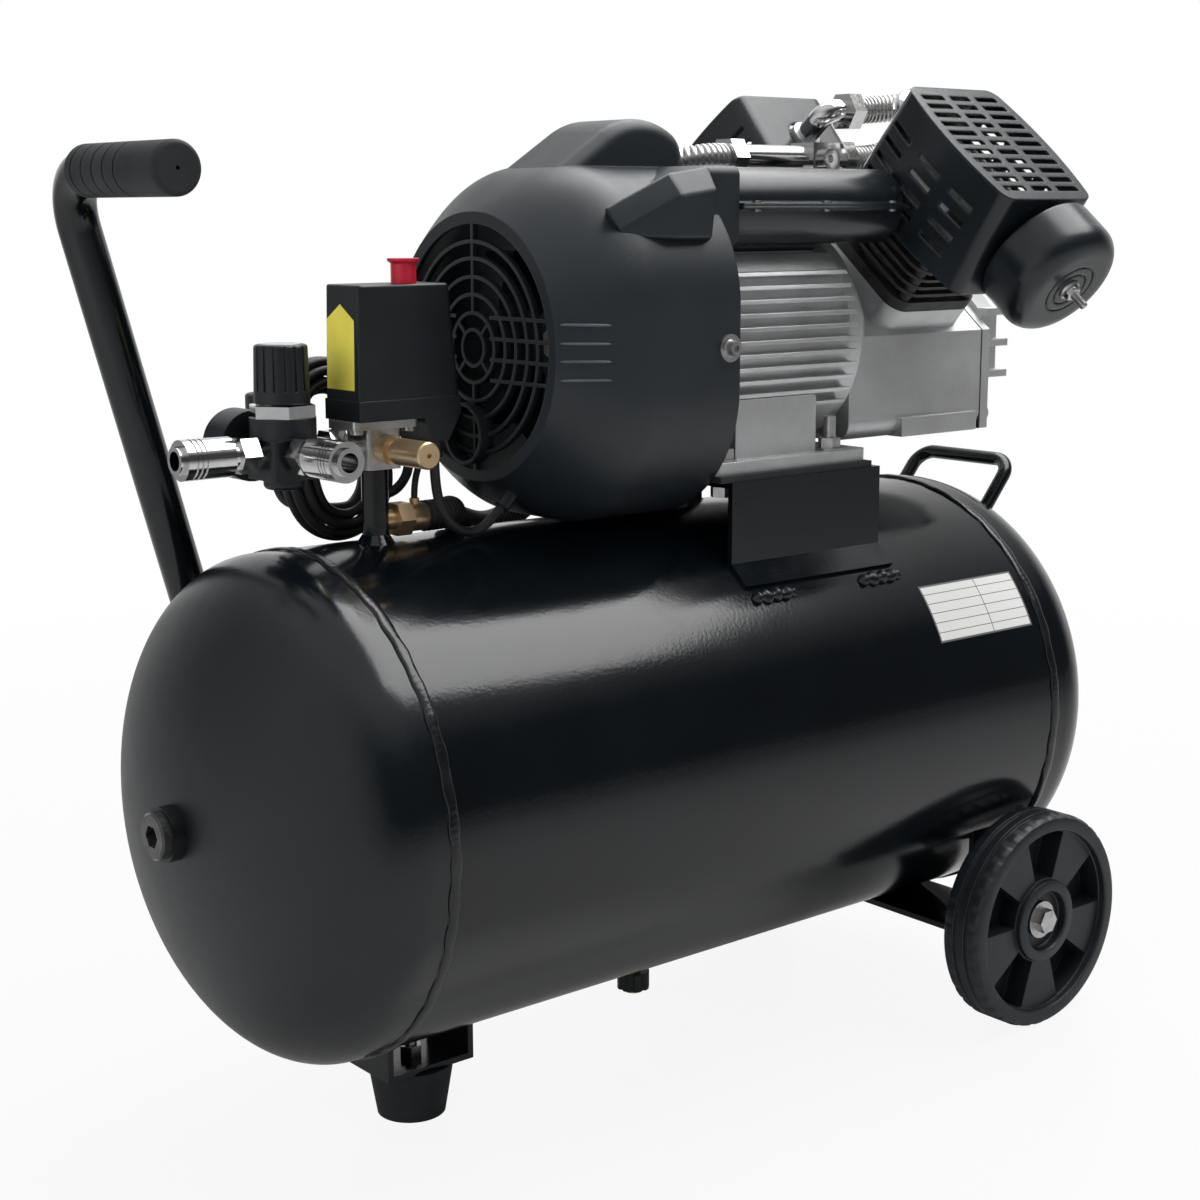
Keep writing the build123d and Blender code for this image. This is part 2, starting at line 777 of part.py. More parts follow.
duct_floor = shaft_z + housing_r + 5
with BuildPart() as fan_cowl:
    add(cowl_skin(0, cowl_x0))
    add(cowl_duct(0))
    add(cowl_scoop(0))
    add(cowl_skin(cowl_wall, cowl_x0 + cowl_wall), mode=Mode.SUBTRACT)
    add(cowl_duct(cowl_wall), mode=Mode.SUBTRACT)
    add(cowl_scoop(cowl_wall), mode=Mode.SUBTRACT)
    with BuildSketch(Plane.YZ.offset(cowl_x1 - 0.01)):
        with Locations((0, shaft_z)):
            Circle(fin_r + 6)
    extrude(amount=hump_end_x + 2, mode=Mode.SUBTRACT)
    with BuildSketch(Plane.YZ.offset(cowl_x0)):
        with Locations((0, shaft_z)):
            Circle(grille_r)
    extrude(amount=cowl_wall + 1, both=True, mode=Mode.SUBTRACT)
    with BuildSketch(Plane.YZ.offset(cowl_x0)):
        with Locations((0, shaft_z)):
            for radius in reversed(ring_radii):
                Circle(radius + grille_bar / 2)
                Circle(radius - grille_bar / 2, mode=Mode.SUBTRACT)
            for half_turn in (0, 1):
                with Locations((0, (half_turn * 2 - 1) * (grille_r + ring_radii[1]) / 2)):
                    Rectangle(grille_bar, grille_r - ring_radii[1] + grille_bar)
            for row in (-1.5, -0.5, 0.5, 1.5):
                for way in (-1, 1):
                    with Locations((way * (grille_r + ring_radii[1] - 4) / 2, row * 12.5)):
                        Rectangle(grille_r - ring_radii[1] + 4, grille_bar)
            with PolarLocations((ring_radii[0] + ring_radii[1]) / 2, 4, 45):
                Rectangle(ring_radii[1] - ring_radii[0], grille_bar)
            Circle(grille_r + 0.5, mode=Mode.INTERSECT)
    extrude(amount=grille_depth)
    with BuildSketch(Plane.YZ.offset(cowl_x0 + grille_depth)):
        with Locations((4, shaft_z - cup_drop)):
            Circle(cup_r)
            Circle(cup_r - grille_bar, mode=Mode.SUBTRACT)
    extrude(amount=-grille_depth - cup_proud)
    with Locations((cowl_screw_x, 0, shaft_z)):
        Cylinder(cowl_screw_od / 2, 4 * lug_r, rotation=(90, 0, 0), mode=Mode.SUBTRACT)
    with BuildSketch(Plane((grommet_x, grommet_y, grommet_z), z_dir=(0.7, 0, 0.7))):
        Circle(lead_gland_od / 2)
    extrude(amount=grommet_length)
fan_cowl.part.label = "fan_cowl"
export_step(fan_cowl.part, "parts/fan_cowl.step")

# Cooling fan: a hub on the shaft's rear end with a back plate and straight radial blades.
with BuildPart() as cooling_fan:
    with BuildSketch(Plane.YZ.offset(fan_x)):
        with Locations((0, shaft_z)):
            Circle(fan_hub_r)
    extrude(amount=fan_width)
    with BuildSketch(Plane.YZ.offset(fan_x + fan_width - blade_thick)):
        with Locations((0, shaft_z)):
            Circle(fan_r)
    extrude(amount=blade_thick)
    with BuildSketch(Plane.YZ.offset(fan_x)):
        with Locations((0, shaft_z)):
            with PolarLocations((fan_r + fan_hub_r) / 2 - 1, blade_count):
                Rectangle(fan_r - fan_hub_r + 2, blade_thick)
    extrude(amount=fan_width)
    with BuildSketch(Plane.YZ.offset(fan_x)):
        with Locations((0, shaft_z)):
            Circle(rear_bearing_id / 2)
    extrude(amount=fan_width, mode=Mode.SUBTRACT)
cooling_fan.part.label = "cooling_fan"
export_step(cooling_fan.part, "parts/cooling_fan.step")

# Capacitor cover: two half shells with riveted flanges, around the can of the run capacitor.
cap_length = cap_x1 - cap_x0
rivet_places = (cap_x0 + 14, cap_x0 + cap_length / 2, cap_x1 - 14)
for level, way in (("upper", 1), ("lower", -1)):
    with BuildPart() as capacitor_cover:
        with BuildSketch(Plane.YZ.offset(cap_x0)):
            with Locations((cap_y, cap_z)):
                Circle(cap_r)
        extrude(amount=cap_length)
        with BuildSketch(Plane.YZ.offset(cap_x0 + cap_wall)):
            with Locations((cap_y, cap_z)):
                Circle(cap_r - cap_wall)
        extrude(amount=cap_length - 2 * cap_wall, mode=Mode.SUBTRACT)
        with Locations((cap_x0 + cap_length / 2, cap_y, cap_z)):
            Box(
                2 * cap_length, 4 * cap_r, 2 * cap_r,
                align=(Align.CENTER, Align.CENTER, Align.MAX if way > 0 else Align.MIN),
                mode=Mode.SUBTRACT,
            )
        for sign in (-1, 1):
            with Locations((cap_x0 + cap_length / 2, cap_y + sign * (cap_r + cap_flange / 2 - 1), cap_z)):
                Box(
                    cap_length, cap_flange + 2, cap_wall,
                    align=(Align.CENTER, Align.CENTER, Align.MIN if way > 0 else Align.MAX),
                )
        if way < 0:
            pad_plane = Plane(
                ((housing_x0 + housing_x1) / 2, 0, shaft_z),
                x_dir=(1, 0, 0),
                z_dir=(0, -sin(radians(cap_tilt)), cos(radians(cap_tilt))),
            )
            with BuildSketch(pad_plane.offset(cap_reach - 3)):
                Rectangle(housing_length - 20, 22)
            extrude(amount=4.5)
            with BuildSketch(Plane.YZ.offset(cap_x0 + cap_wall)):
                with Locations((cap_y, cap_z)):
                    Circle(cap_r - cap_wall)
            extrude(amount=cap_length - 2 * cap_wall, mode=Mode.SUBTRACT)
        for x in rivet_places:
            for sign in (-1, 1):
                with Locations((x, cap_y + sign * (cap_r + cap_flange / 2), cap_z)):
                    Cylinder(rivet_od / 2, 4 * cap_wall, mode=Mode.SUBTRACT)
    capacitor_cover.part.label = f"capacitor_cover_{level}"
    export_step(capacitor_cover.part, f"parts/capacitor_cover_{level}.step")

# Run capacitor: the can inside the cover.
with BuildPart() as run_capacitor:
    with BuildSketch(Plane.YZ.offset(cap_x0 + (cap_length - cap_can_length) / 2)):
        with Locations((cap_y, cap_z)):
            Circle(cap_can_r)
    extrude(amount=cap_can_length)
    fillet(run_capacitor.edges().filter_by(GeomType.CIRCLE), 2)
run_capacitor.part.label = "run_capacitor"
export_step(run_capacitor.part, "parts/run_capacitor.step")

# Cover fasteners: two cowl screws with washers on the end bell's lugs, and the capacitor cover's rivets.
with BuildPart() as cover_fasteners:
    for sign in (-1, 1):
        seat = Plane((cowl_screw_x, sign * cowl_half_width, shaft_z), z_dir=(0, sign, 0))
        with BuildSketch(seat):
            Circle(cowl_screw_head / 2 + 3)
        extrude(amount=1.5)
        with BuildSketch(seat.offset(1.5)):
            Circle(cowl_screw_head / 2)
        extrude(amount=5, taper=15)
        with BuildSketch(seat):
            Circle(cowl_screw_od / 2)
        extrude(amount=-cowl_wall - 12)
        with BuildSketch(seat.offset(6.5)):
            RegularPolygon(2.2, 6)
        extrude(amount=-3, mode=Mode.SUBTRACT)
    for x in rivet_places:
        for sign in (-1, 1):
            with Locations((x, cap_y + sign * (cap_r + cap_flange / 2), cap_z)):
                Cylinder(rivet_od / 2, 2 * cap_wall)
                with Locations((0, 0, cap_wall), (0, 0, -cap_wall - rivet_head)):
                    Cylinder(rivet_head_od / 2, rivet_head, align=(Align.CENTER, Align.CENTER, Align.MIN))
cover_fasteners.part.label = "cover_fasteners"
export_step(cover_fasteners.part, "parts/cover_fasteners.step")

# Crankcase: a cast box with a round bell over the motor's end and a boss for each cylinder.
case_length = case_x1 - case_x0
roof_n = case_half * bank_sin + (case_shoulder - shaft_z) * bank_cos
ridge_z = shaft_z + roof_n / bank_cos


def case_block(inset, x0, x1):
    """House-shaped block of the crankcase, its walls moved inwards by inset."""
    side = case_half - inset
    with BuildPart() as block:
        with BuildSketch(Plane.YZ.offset(x0)):
            with BuildLine():
                Polyline(
                    (-side, case_bottom + inset),
                    (side, case_bottom + inset),
                    (side, case_shoulder - inset / 3),
                    (0, ridge_z - inset / bank_cos),
                    (-side, case_shoulder - inset / 3),
                    close=True,
                )
            make_face()
        extrude(amount=x1 - x0)
    return block.part


with BuildPart() as crankcase:
    add(case_block(0, case_x0, case_x1))
    fillet(crankcase.edges().filter_by(Axis.X).group_by(Axis.Z)[0], 12)
    with BuildSketch(Plane.YZ.offset(housing_x1)):
        with Locations((0, shaft_z)):
            Circle(housing_r)
    with BuildSketch(Plane.YZ.offset(housing_x1 + 14)):
        with Locations((0, shaft_z)):
            Circle(housing_r - 3)
    with BuildSketch(Plane.YZ.offset(case_x0 + 18)):
        with Locations((0, shaft_z)):
            Circle(case_half - 4)
    loft(ruled=True)
    for side, sign, x in banks:
        with BuildSketch(bank_plane(sign, x, 0)):
            RectangleRounded(cylinder_flange, cylinder_flange - 2, 14)
        extrude(amount=seat_n)
    split(bisect_by=Plane.YZ.offset(housing_x1), keep=Keep.TOP)
    with Locations((case_rail_x0, 0, case_bottom)):
        Box(
            case_rail_x1 - case_rail_x0, 2 * (case_half + case_rail_proud), case_rail_height,
            align=(Align.MIN, Align.CENTER, Align.MIN),
        )
    with Locations((case_x0 + case_length / 2, 0, case_bottom)):
        Box(
            2 * case_length, 4 * case_half, case_bottom,
            align=(Align.CENTER, Align.CENTER, Align.MAX), mode=Mode.SUBTRACT,
        )
    add(case_block(case_wall, web_x0 - 8, case_x1), mode=Mode.SUBTRACT)
    for side, sign, x in banks:
        with BuildSketch(bank_plane(sign, x, 0)):
            Circle(bore_r + 1)
        extrude(amount=seat_n, mode=Mode.SUBTRACT)
        with BuildSketch(bank_plane(sign, x, seat_n)):
            with GridLocations(head_bolt_pitch_x, head_bolt_pitch_t, 2, 2):
                Circle(head_bolt_od / 2)
        extrude(amount=-16, mode=Mode.SUBTRACT)
    with BuildSketch(Plane.YZ.offset(housing_x1)):
        with Locations((0, shaft_z)):
            Circle(stator_r - 4)
    extrude(amount=12, mode=Mode.SUBTRACT)
    with BuildSketch(Plane.YZ.offset(housing_x1)):
        with Locations((0, shaft_z)):
            Circle(front_bearing_od / 2)
    extrude(amount=12 + front_bearing_width, mode=Mode.SUBTRACT)
    with BuildSketch(Plane.YZ.offset(housing_x1)):
        with Locations((0, shaft_z)):
            Circle(shaft_od / 2 + 2)
    extrude(amount=case_length, mode=Mode.SUBTRACT)
crankcase.part.label = "crankcase"
export_step(crankcase.part, "parts/crankcase.step")

# Crankcase gasket and cover: the cover is a flange with a ribbed octagonal dome.
with BuildPart() as cover_gasket:
    add(case_block(0, case_x1, case_x1 + gasket_thick))
    add(case_block(case_wall, case_x1, case_x1 + gasket_thick), mode=Mode.SUBTRACT)
cover_gasket.part.label = "cover_gasket"
export_step(cover_gasket.part, "parts/cover_gasket.step")

cover_x0 = case_x1 + gasket_thick
with BuildPart() as crankcase_cover:
    add(case_block(0, cover_x0, cover_x0 + cover_flange))
    with BuildSketch(Plane.YZ.offset(cover_x0 + cover_flange)):
        with Locations((0, shaft_z - 12)):
            RegularPolygon(case_half - 8, 8, major_radius=False, rotation=22.5)
    extrude(amount=cover_dome, taper=8)
    for row in (-1, 0, 1):
        with Locations((cover_x0 + cover_flange, 0, shaft_z - 12 + row * cover_rib_pitch)):
            Box(
                cover_dome + cover_rib_proud, 2 * case_half - cover_rib, cover_rib,
                align=(Align.MIN, Align.CENTER, Align.CENTER),
            )
    for sign_y, z in ((-1, case_bottom + 10), (1, case_bottom + 10), (-1, case_shoulder - 8), (1, case_shoulder - 8)):
        with Locations((cover_x0 + cover_flange, sign_y * (case_half - 8), z)):
            Cylinder(6, 8, rotation=(0, 90, 0))
    add(case_block(case_wall + 2, cover_x0, cover_x0 + 4), mode=Mode.SUBTRACT)
crankcase_cover.part.label = "crankcase_cover"
export_step(crankcase_cover.part, "parts/crankcase_cover.step")

# Bearings: the rear one in the end bell and the front one in the crankcase's wall.
with BuildPart() as bearings:
    for x, outer_od, inner_od, width in (
        (housing_x0 - rear_bearing_width, rear_bearing_od, rear_bearing_id, rear_bearing_width),
        (housing_x1 + 12, front_bearing_od, front_bearing_id, front_bearing_width),
    ):
        with BuildSketch(Plane.YZ.offset(x)):
            with Locations((0, shaft_z)):
                Circle(outer_od / 2)
                Circle(inner_od / 2 + running_gap, mode=Mode.SUBTRACT)
        extrude(amount=width)
bearings.part.label = "bearings"
export_step(bearings.part, "parts/bearings.step")

# Crankshaft with its rotor: the motor's shaft ends in a web, a counterweight and an overhung pin.
pin_x1 = near_x + rod_width / 2 + 1.5
with BuildPart() as crankshaft:
    with BuildSketch(Plane.YZ.offset(fan_x)):
        with Locations((0, shaft_z)):
            Circle(rear_bearing_id / 2)
    extrude(amount=housing_x0 + 4 - fan_x)
    with BuildSketch(Plane.YZ.offset(housing_x0 + 4)):
        with Locations((0, shaft_z)):
            Circle(shaft_od / 2)
    extrude(amount=web_x0 - housing_x0 - 4)
    with BuildSketch(Plane.YZ.offset(web_x0)):
        with Locations((0, shaft_z)):
            Circle(counterweight_r)
        with Locations((0, shaft_z - counterweight_r / 2)):
            Rectangle(2 * counterweight_half, counterweight_r, mode=Mode.INTERSECT)
        with Locations((0, shaft_z)):
            Circle(web_r)
    extrude(amount=web_thick)
    with BuildSketch(Plane.YZ.offset(web_x1)):
        with Locations((0, pin_z)):
            Circle(crank_pin_od / 2)
    extrude(amount=pin_x1 - web_x1)
    with BuildSketch(Plane.YZ.offset(pin_x1)):
        with Locations((0, pin_z)):
            Circle(crank_pin_od / 2 + 4)
    extrude(amount=3)
    with BuildSketch(Plane.YZ.offset(stator_x0 + (stator_length - rotor_length) / 2)):
        with Locations((0, shaft_z)):
            Circle(rotor_r)
    extrude(amount=rotor_length)
crankshaft.part.label = "crankshaft"
export_step(crankshaft.part, "parts/crankshaft.step")

# Connecting rods and pistons, one pair per bank, with the crank pin at the top of its circle.
for side, sign, x in banks:
    lean = sign * (bank_angle - degrees(asin(throw * bank_sin / rod_length)))
    rod_dir = (0, sin(radians(lean)), cos(radians(lean)))
    big_end = Plane((x, 0, pin_z), x_dir=(1, 0, 0), z_dir=rod_dir)
    with BuildPart() as conrod:
        with Locations((x, 0, pin_z)):
            Cylinder(rod_big_r, rod_width, rotation=(0, 90, 0))
        with BuildSketch(big_end):
            Rectangle(rod_width - 4, rod_shank)
        extrude(amount=rod_length)
        with Locations(big_end.offset(rod_length).location):
            Cylinder(rod_small_r, rod_width - 1, rotation=(0, 90, 0))
            Cylinder(wrist_pin_od / 2, wrist_pin_length, rotation=(0, 90, 0))
        with Locations((x, 0, pin_z)):
            Cylinder(crank_pin_od / 2 + running_gap, 2 * rod_width, rotation=(0, 90, 0), mode=Mode.SUBTRACT)
    conrod.part.label = f"conrod_{side}"
    export_step(conrod.part, f"parts/conrod_{side}.step")

    with BuildPart() as piston:
        with BuildSketch(bank_plane(sign, x, crown_n)):
            Circle(bore_r - piston_gap)
        extrude(amount=-piston_length)
        with BuildSketch(bank_plane(sign, x, crown_n - piston_crown)):
            Circle(bore_r - piston_wall)
        extrude(amount=-piston_length, mode=Mode.SUBTRACT)
    piston.part.label = f"piston_{side}"
    export_step(piston.part, f"parts/piston_{side}.step")

# Cylinders: finned barrels on square flanges.
fin_start = flange_thick + 5
with BuildPart() as cylinders:
    for side, sign, x in banks:
        with BuildSketch(bank_plane(sign, x, seat_n)):
            RectangleRounded(cylinder_flange, cylinder_flange - 2, 14)
        extrude(amount=flange_thick)
        with BuildSketch(bank_plane(sign, x, seat_n)):
            Circle(barrel_r)
        extrude(amount=deck_n - seat_n)
        for fin in range(cylinder_fin_count):
            with BuildSketch(bank_plane(sign, x, seat_n + fin_start + fin * cylinder_fin_pitch)):
                RectangleRounded(cylinder_fin, cylinder_fin + 2, 14)
            extrude(amount=cylinder_fin_thick)
        with BuildSketch(bank_plane(sign, x, seat_n)):
            Circle(bore_r)
            with GridLocations(head_bolt_pitch_x, head_bolt_pitch_t, 2, 2):
                Circle(head_bolt_od / 2 + bolt_clearance)
        extrude(amount=deck_n - seat_n, mode=Mode.SUBTRACT)
cylinders.part.label = "cylinders"
export_step(cylinders.part, "parts/cylinders.step")

# Valve plates: steel plates with four ports each, clamped under the heads.
plate_top = deck_n + valve_plate_thick
with BuildPart() as valve_plates:
    for side, sign, x in banks:
        with BuildSketch(bank_plane(sign, x, deck_n)):
            with Locations((0, (head_t0 + head_t1) / 2)):
                RectangleRounded(2 * head_half_x, head_t1 - head_t0, 8)
            with GridLocations(head_bolt_pitch_x, head_bolt_pitch_t, 2, 2):
                Circle(head_bolt_od / 2 + bolt_clearance, mode=Mode.SUBTRACT)
            with GridLocations(18, 28, 2, 2):
                Circle(3.5, mode=Mode.SUBTRACT)
        extrude(amount=valve_plate_thick)
valve_plates.part.label = "valve_plates"
export_step(valve_plates.part, "parts/valve_plates.step")

# Cylinder heads: finned castings with an intake neck at the outer end and two ports at the inner end.
chamber = 9.0
lug_side = 14.0
lug_root = 3.0
lug_n = plate_top + 9
lug_end_t = guard_end_t(lug_n + lug_side / 2) - guard_sheet - lug_gap
head_ports = (
    (-1, near_x, cross_port_near, port_n),
    (-1, near_x, line_port, line_n),
    (1, far_x, cross_port_far, port_n),
)
with BuildPart() as cylinder_heads:
    for side, sign, x in banks:
        with BuildSketch(bank_plane(sign, x, plate_top)):
            with Locations((0, (head_t0 + head_t1) / 2)):
                RectangleRounded(2 * head_half_x, head_t1 - head_t0, 8)
        extrude(amount=head_n - plate_top - 12)
        with BuildSketch(bank_plane(sign, x, head_n - 13)):
            with Locations((0, (head_t0 + head_t1) / 2)):
                with GridLocations(8, 0, 8, 1):
                    Rectangle(2.6, head_t1 - head_t0 - 8)
        extrude(amount=13)
        with BuildSketch(end_plane(sign, x, neck_n, head_t1 - 6, filter_shift)):
            Circle(neck_od / 2)
        extrude(amount=filter_t0 - head_t1 + 6)
        for lug in (-1, 1):
            with BuildSketch(end_plane(sign, x, lug_n, head_t1 - lug_root, lug * (head_half_x - 9))):
                Rectangle(lug_side, lug_side)
            extrude(amount=lug_end_t - head_t1 + lug_root)
        for lobe in (-1, 1):
            with BuildSketch(bank_plane(sign, x, plate_top)):
                with Locations((0, lobe * 20)):
                    RectangleRounded(36, 30, 5)
            extrude(amount=chamber, mode=Mode.SUBTRACT)
    for sign, x, shift, n in head_ports:
        with BuildSketch(end_plane(sign, x, n, head_t0 + port_proud, shift)):
            Circle(port_od / 2)
        extrude(amount=-2 * port_proud)
        with BuildSketch(end_plane(sign, x, n, head_t0 - port_proud, shift)):
            Circle(pipe_od / 2 - pipe_wall)
        extrude(amount=4 * port_proud, mode=Mode.SUBTRACT)
    for side, sign, x in banks:
        with BuildSketch(bank_plane(sign, x, plate_top)):
            with GridLocations(head_bolt_pitch_x, head_bolt_pitch_t, 2, 2):
                Circle(head_bolt_od / 2 + bolt_clearance)
        extrude(amount=head_n, mode=Mode.SUBTRACT)
        with BuildSketch(bank_plane(sign, x, head_n - 13)):
            with GridLocations(head_bolt_pitch_x, head_bolt_pitch_t, 2, 2):
                Circle(nut_hex * 0.7)
        extrude(amount=head_n, mode=Mode.SUBTRACT)
cylinder_heads.part.label = "cylinder_heads"
export_step(cylinder_heads.part, "parts/cylinder_heads.step")

# Head bolts: four per bank, through head, valve plate and cylinder into the crankcase.
with BuildPart() as head_bolts:
    for side, sign, x in banks:
        with BuildSketch(bank_plane(sign, x, seat_n - 14)):
            with GridLocations(head_bolt_pitch_x, head_bolt_pitch_t, 2, 2):
                Circle(head_bolt_od / 2)
        extrude(amount=head_n - 13 - seat_n + 14 + nut_height)
        with BuildSketch(bank_plane(sign, x, head_n - 13)):
            with GridLocations(head_bolt_pitch_x, head_bolt_pitch_t, 2, 2):
                RegularPolygon(nut_hex / 2, 6, major_radius=False)
        extrude(amount=nut_height)
head_bolts.part.label = "head_bolts"
export_step(head_bolts.part, "parts/head_bolts.step")

# Frame bolts: the motor's four studs, the foot's bolt and the wheels' axle bolts.
with BuildPart() as frame_bolts:
    for x in (stud_x0, stud_x1):
        for sign in (-1, 1):
            with Locations((x, sign * stud_y, 0)):
                with Locations((0, 0, saddle_top - sheet - nut_height)):
                    Cylinder(
                        stud_od / 2, foot_plate_top + stud_tail - saddle_top + sheet + nut_height,
                        align=(Align.CENTER, Align.CENTER, Align.MIN),
                    )
            with BuildSketch(Plane.XY.offset(foot_plate_top)):
                with Locations((x, sign * stud_y)):
                    Circle(nut_hex * 0.72)
            extrude(amount=1.5)
            with BuildSketch(Plane.XY.offset(foot_plate_top + 1.5)):
                with Locations((x, sign * stud_y)):
                    RegularPolygon(nut_hex / 2, 6, major_radius=False)
            extrude(amount=nut_height)
            with BuildSketch(Plane.XY.offset(saddle_top - sheet)):
                with Locations((x, sign * stud_y)):
                    RegularPolygon(nut_hex / 2, 6, major_radius=False)
            extrude(amount=-nut_height)
    with Locations((foot_x, 0, foot_recess - bolt_head)):
        Cylinder(
            foot_bolt_od / 2, foot_height + sheet + nut_height + 3 - foot_recess + bolt_head,
            align=(Align.CENTER, Align.CENTER, Align.MIN),
        )
    for z, height in ((foot_recess - bolt_head, bolt_head), (foot_height + sheet, nut_height)):
        with BuildSketch(Plane.XY.offset(z)):
            with Locations((foot_x, 0)):
                RegularPolygon(nut_hex / 2, 6, major_radius=False)
        extrude(amount=height)
    for sign in (-1, 1):
        seat = Plane((wheel_x, sign * hub_seat_y, wheel_z), x_dir=(1, 0, 0), z_dir=(0, sign, 0))
        with BuildSketch(seat):
            Circle(washer_od / 2)
        extrude(amount=washer_thick)
        with BuildSketch(seat.offset(washer_thick)):
            RegularPolygon(bolt_hex / 2, 6, major_radius=False)
        extrude(amount=bolt_head)
        strap_seat = Plane((wheel_x, sign * strap_y, wheel_z), x_dir=(1, 0, 0), z_dir=(0, sign, 0))
        with BuildSketch(strap_seat):
            Circle(washer_od / 2)
        extrude(amount=washer_thick)
        with BuildSketch(strap_seat.offset(-sheet)):
            RegularPolygon(bolt_hex / 2 + 1.5, 6, major_radius=False)
        extrude(amount=-axle_nut)
        with BuildSketch(strap_seat.offset(-sheet - axle_nut - 2)):
            Circle(axle_od / 2)
        extrude(amount=hub_seat_y - strap_y + sheet + axle_nut + 2)
frame_bolts.part.label = "frame_bolts"
export_step(frame_bolts.part, "parts/frame_bolts.step")

# Head guards: slotted covers over the heads, bowed at their sides and screwed to the heads' lugs.
guard_mid_t = (guard_t0 + guard_t1) / 2
guard_length = guard_t1 - guard_t0


def guard_outline(n, inset):
    """Outline of a guard at n from the shaft: straight ends, bowed long sides and rounded corners."""
    half = guard_half_x - inset
    start = guard_t0 + inset
    end = guard_end_t(n) - inset
    middle = (start + end) / 2
    with BuildSketch(Plane.XY.offset(n)) as outline:
        with BuildLine():
            Line((-half, start), (half, start))
            ThreePointArc((half, start), (half + guard_bow, middle), (half, end))
            Line((half, end), (-half, end))
            ThreePointArc((-half, end), (-half - guard_bow, middle), (-half, start))
        make_face()
        fillet(outline.vertices(), guard_corner - inset)
    return outline.sketch


def guard_blank():
    """One guard in its bank's own frame: x along the shaft, y out along the bank, z from the shaft."""
    outer = [guard_outline(guard_n0, 0), guard_outline(guard_n1, 0)]
    inner = [guard_outline(guard_n0, guard_sheet), guard_outline(guard_n1 - guard_sheet, guard_sheet)]
    with BuildPart() as blank:
        loft(outer, ruled=True)
        loft(inner, ruled=True, mode=Mode.SUBTRACT)
        with BuildSketch(Plane.YZ):
            with Locations((side_slot_t, side_slot_n)):
                with GridLocations(
                    side_slot_long + side_slot_bridge, side_slot_pitch, side_slot_groups, side_slot_rows
                ):
                    Rectangle(side_slot_long, side_slot_wide)
        extrude(amount=2 * guard_half_x, both=True, mode=Mode.SUBTRACT)
        with BuildSketch(Plane.XY.offset(guard_n1 - 2 * guard_sheet)):
            for row in range(slot_rows):
                t = guard_mid_t + (row - (slot_rows - 1) / 2) * slot_pitch
                reach = slot_long + guard_bow * (1 - (2 * (t - guard_mid_t) / guard_length) ** 2)
                with Locations((0, t)):
                    RectangleRounded(slot_long, slot_wide, slot_corner)
                for hand in (-1, 1):
                    with Locations((hand * (slot_long / 2 + slot_bridge + reach / 2), t)):
                        RectangleRounded(reach, slot_wide, slot_corner)
        extrude(amount=3 * guard_sheet, mode=Mode.SUBTRACT)
        with BuildSketch(Plane.XZ.offset(-guard_t1 - guard_flare - guard_sheet)):
            with Locations((filter_shift, neck_n)):
                Circle(neck_od / 2 + port_clear)
        extrude(amount=guard_flare + 4 * guard_sheet, mode=Mode.SUBTRACT)
    return blank.part


with BuildPart() as head_guards:
    blank = guard_blank()
    for side, sign, x in banks:
        add(blank.moved(bank_plane(sign, x, 0).location))
    for sign, x, shift, n in head_ports:
        with BuildSketch(end_plane(sign, x, n, guard_t0 - 4, shift)):
            Circle(port_od / 2 + port_clear)
            with Locations((0, n - guard_n0)):
                Rectangle(port_od + 2 * port_clear, 2 * (n - guard_n0))
        extrude(amount=8, mode=Mode.SUBTRACT)
head_guards.part.label = "head_guards"
export_step(head_guards.part, "parts/head_guards.step")

# Intake filters: round drums on the necks, with a stud and nut through the middle of each.
with BuildPart() as intake_filters:
    for side, sign, x in banks:
        base = end_plane(sign, x, neck_n, filter_t0, filter_shift)
        across = Plane(base.origin, x_dir=base.x_dir, z_dir=base.x_dir.cross(base.z_dir))
        with BuildSketch(across) as profile:
            Rectangle(filter_r, filter_thick, align=(Align.MIN, Align.MIN))
            back, front = profile.vertices().group_by(Axis.X)[-1].sort_by(Axis.Y)
            fillet(front, filter_round)
            fillet(back, filter_lip)
        revolve(axis=Axis(base.origin, base.z_dir))
        for ring in filter_rings:
            with BuildSketch(base.offset(filter_thick - 1)):
                Circle(ring)
                Circle(ring - 1.5, mode=Mode.SUBTRACT)
            extrude(amount=2, mode=Mode.SUBTRACT)
        with BuildSketch(base.offset(filter_thick)):
            RegularPolygon(5, 6)
        extrude(amount=4)
        with BuildSketch(base.offset(filter_thick)):
            Circle(2.5)
        extrude(amount=16)
        with BuildSketch(base):
            Circle(filter_r - 10)
        extrude(amount=filter_thick - 12, mode=Mode.SUBTRACT)
        with BuildSketch(base):
            Circle(neck_od / 2 + 4)
        extrude(amount=filter_thick - 11)
        with BuildSketch(base):
            Circle(neck_od / 2 - 2)
        extrude(amount=filter_thick - 14, mode=Mode.SUBTRACT)
intake_filters.part.label = "intake_filters"
export_step(intake_filters.part, "parts/intake_filters.step")

# Discharge pipes: a crossover hose between the heads' ports, and the line that gathers the air of the
# near head and leads it along the valley, with a plugged tee on it.


def port_point(sign, x, shift, n, t):
    """A point on the axis of one of the heads' ports, t out from the bank's axis."""
    spot = bank_plane(sign, x, n).from_local_coords(Vector(shift, t, 0))
    return (spot.X, spot.Y, spot.Z)


def tube(points, outer, inner):
    """A round tube along a bent path, solid where inner is 0."""
    with BuildPart() as run:
        with BuildLine() as route:
            radii = bent_path(points)
        length = sum(edge.length for edge in route.edges())
        print(f"tube of {outer} mm: length {length:.1f}, bend radii {radii}")
        with BuildSketch(Plane(route.line @ 0, z_dir=route.line % 0)):
            Circle(outer / 2)
            if inner > 0:
                Circle(inner / 2, mode=Mode.SUBTRACT)
        sweep()
    return run.part


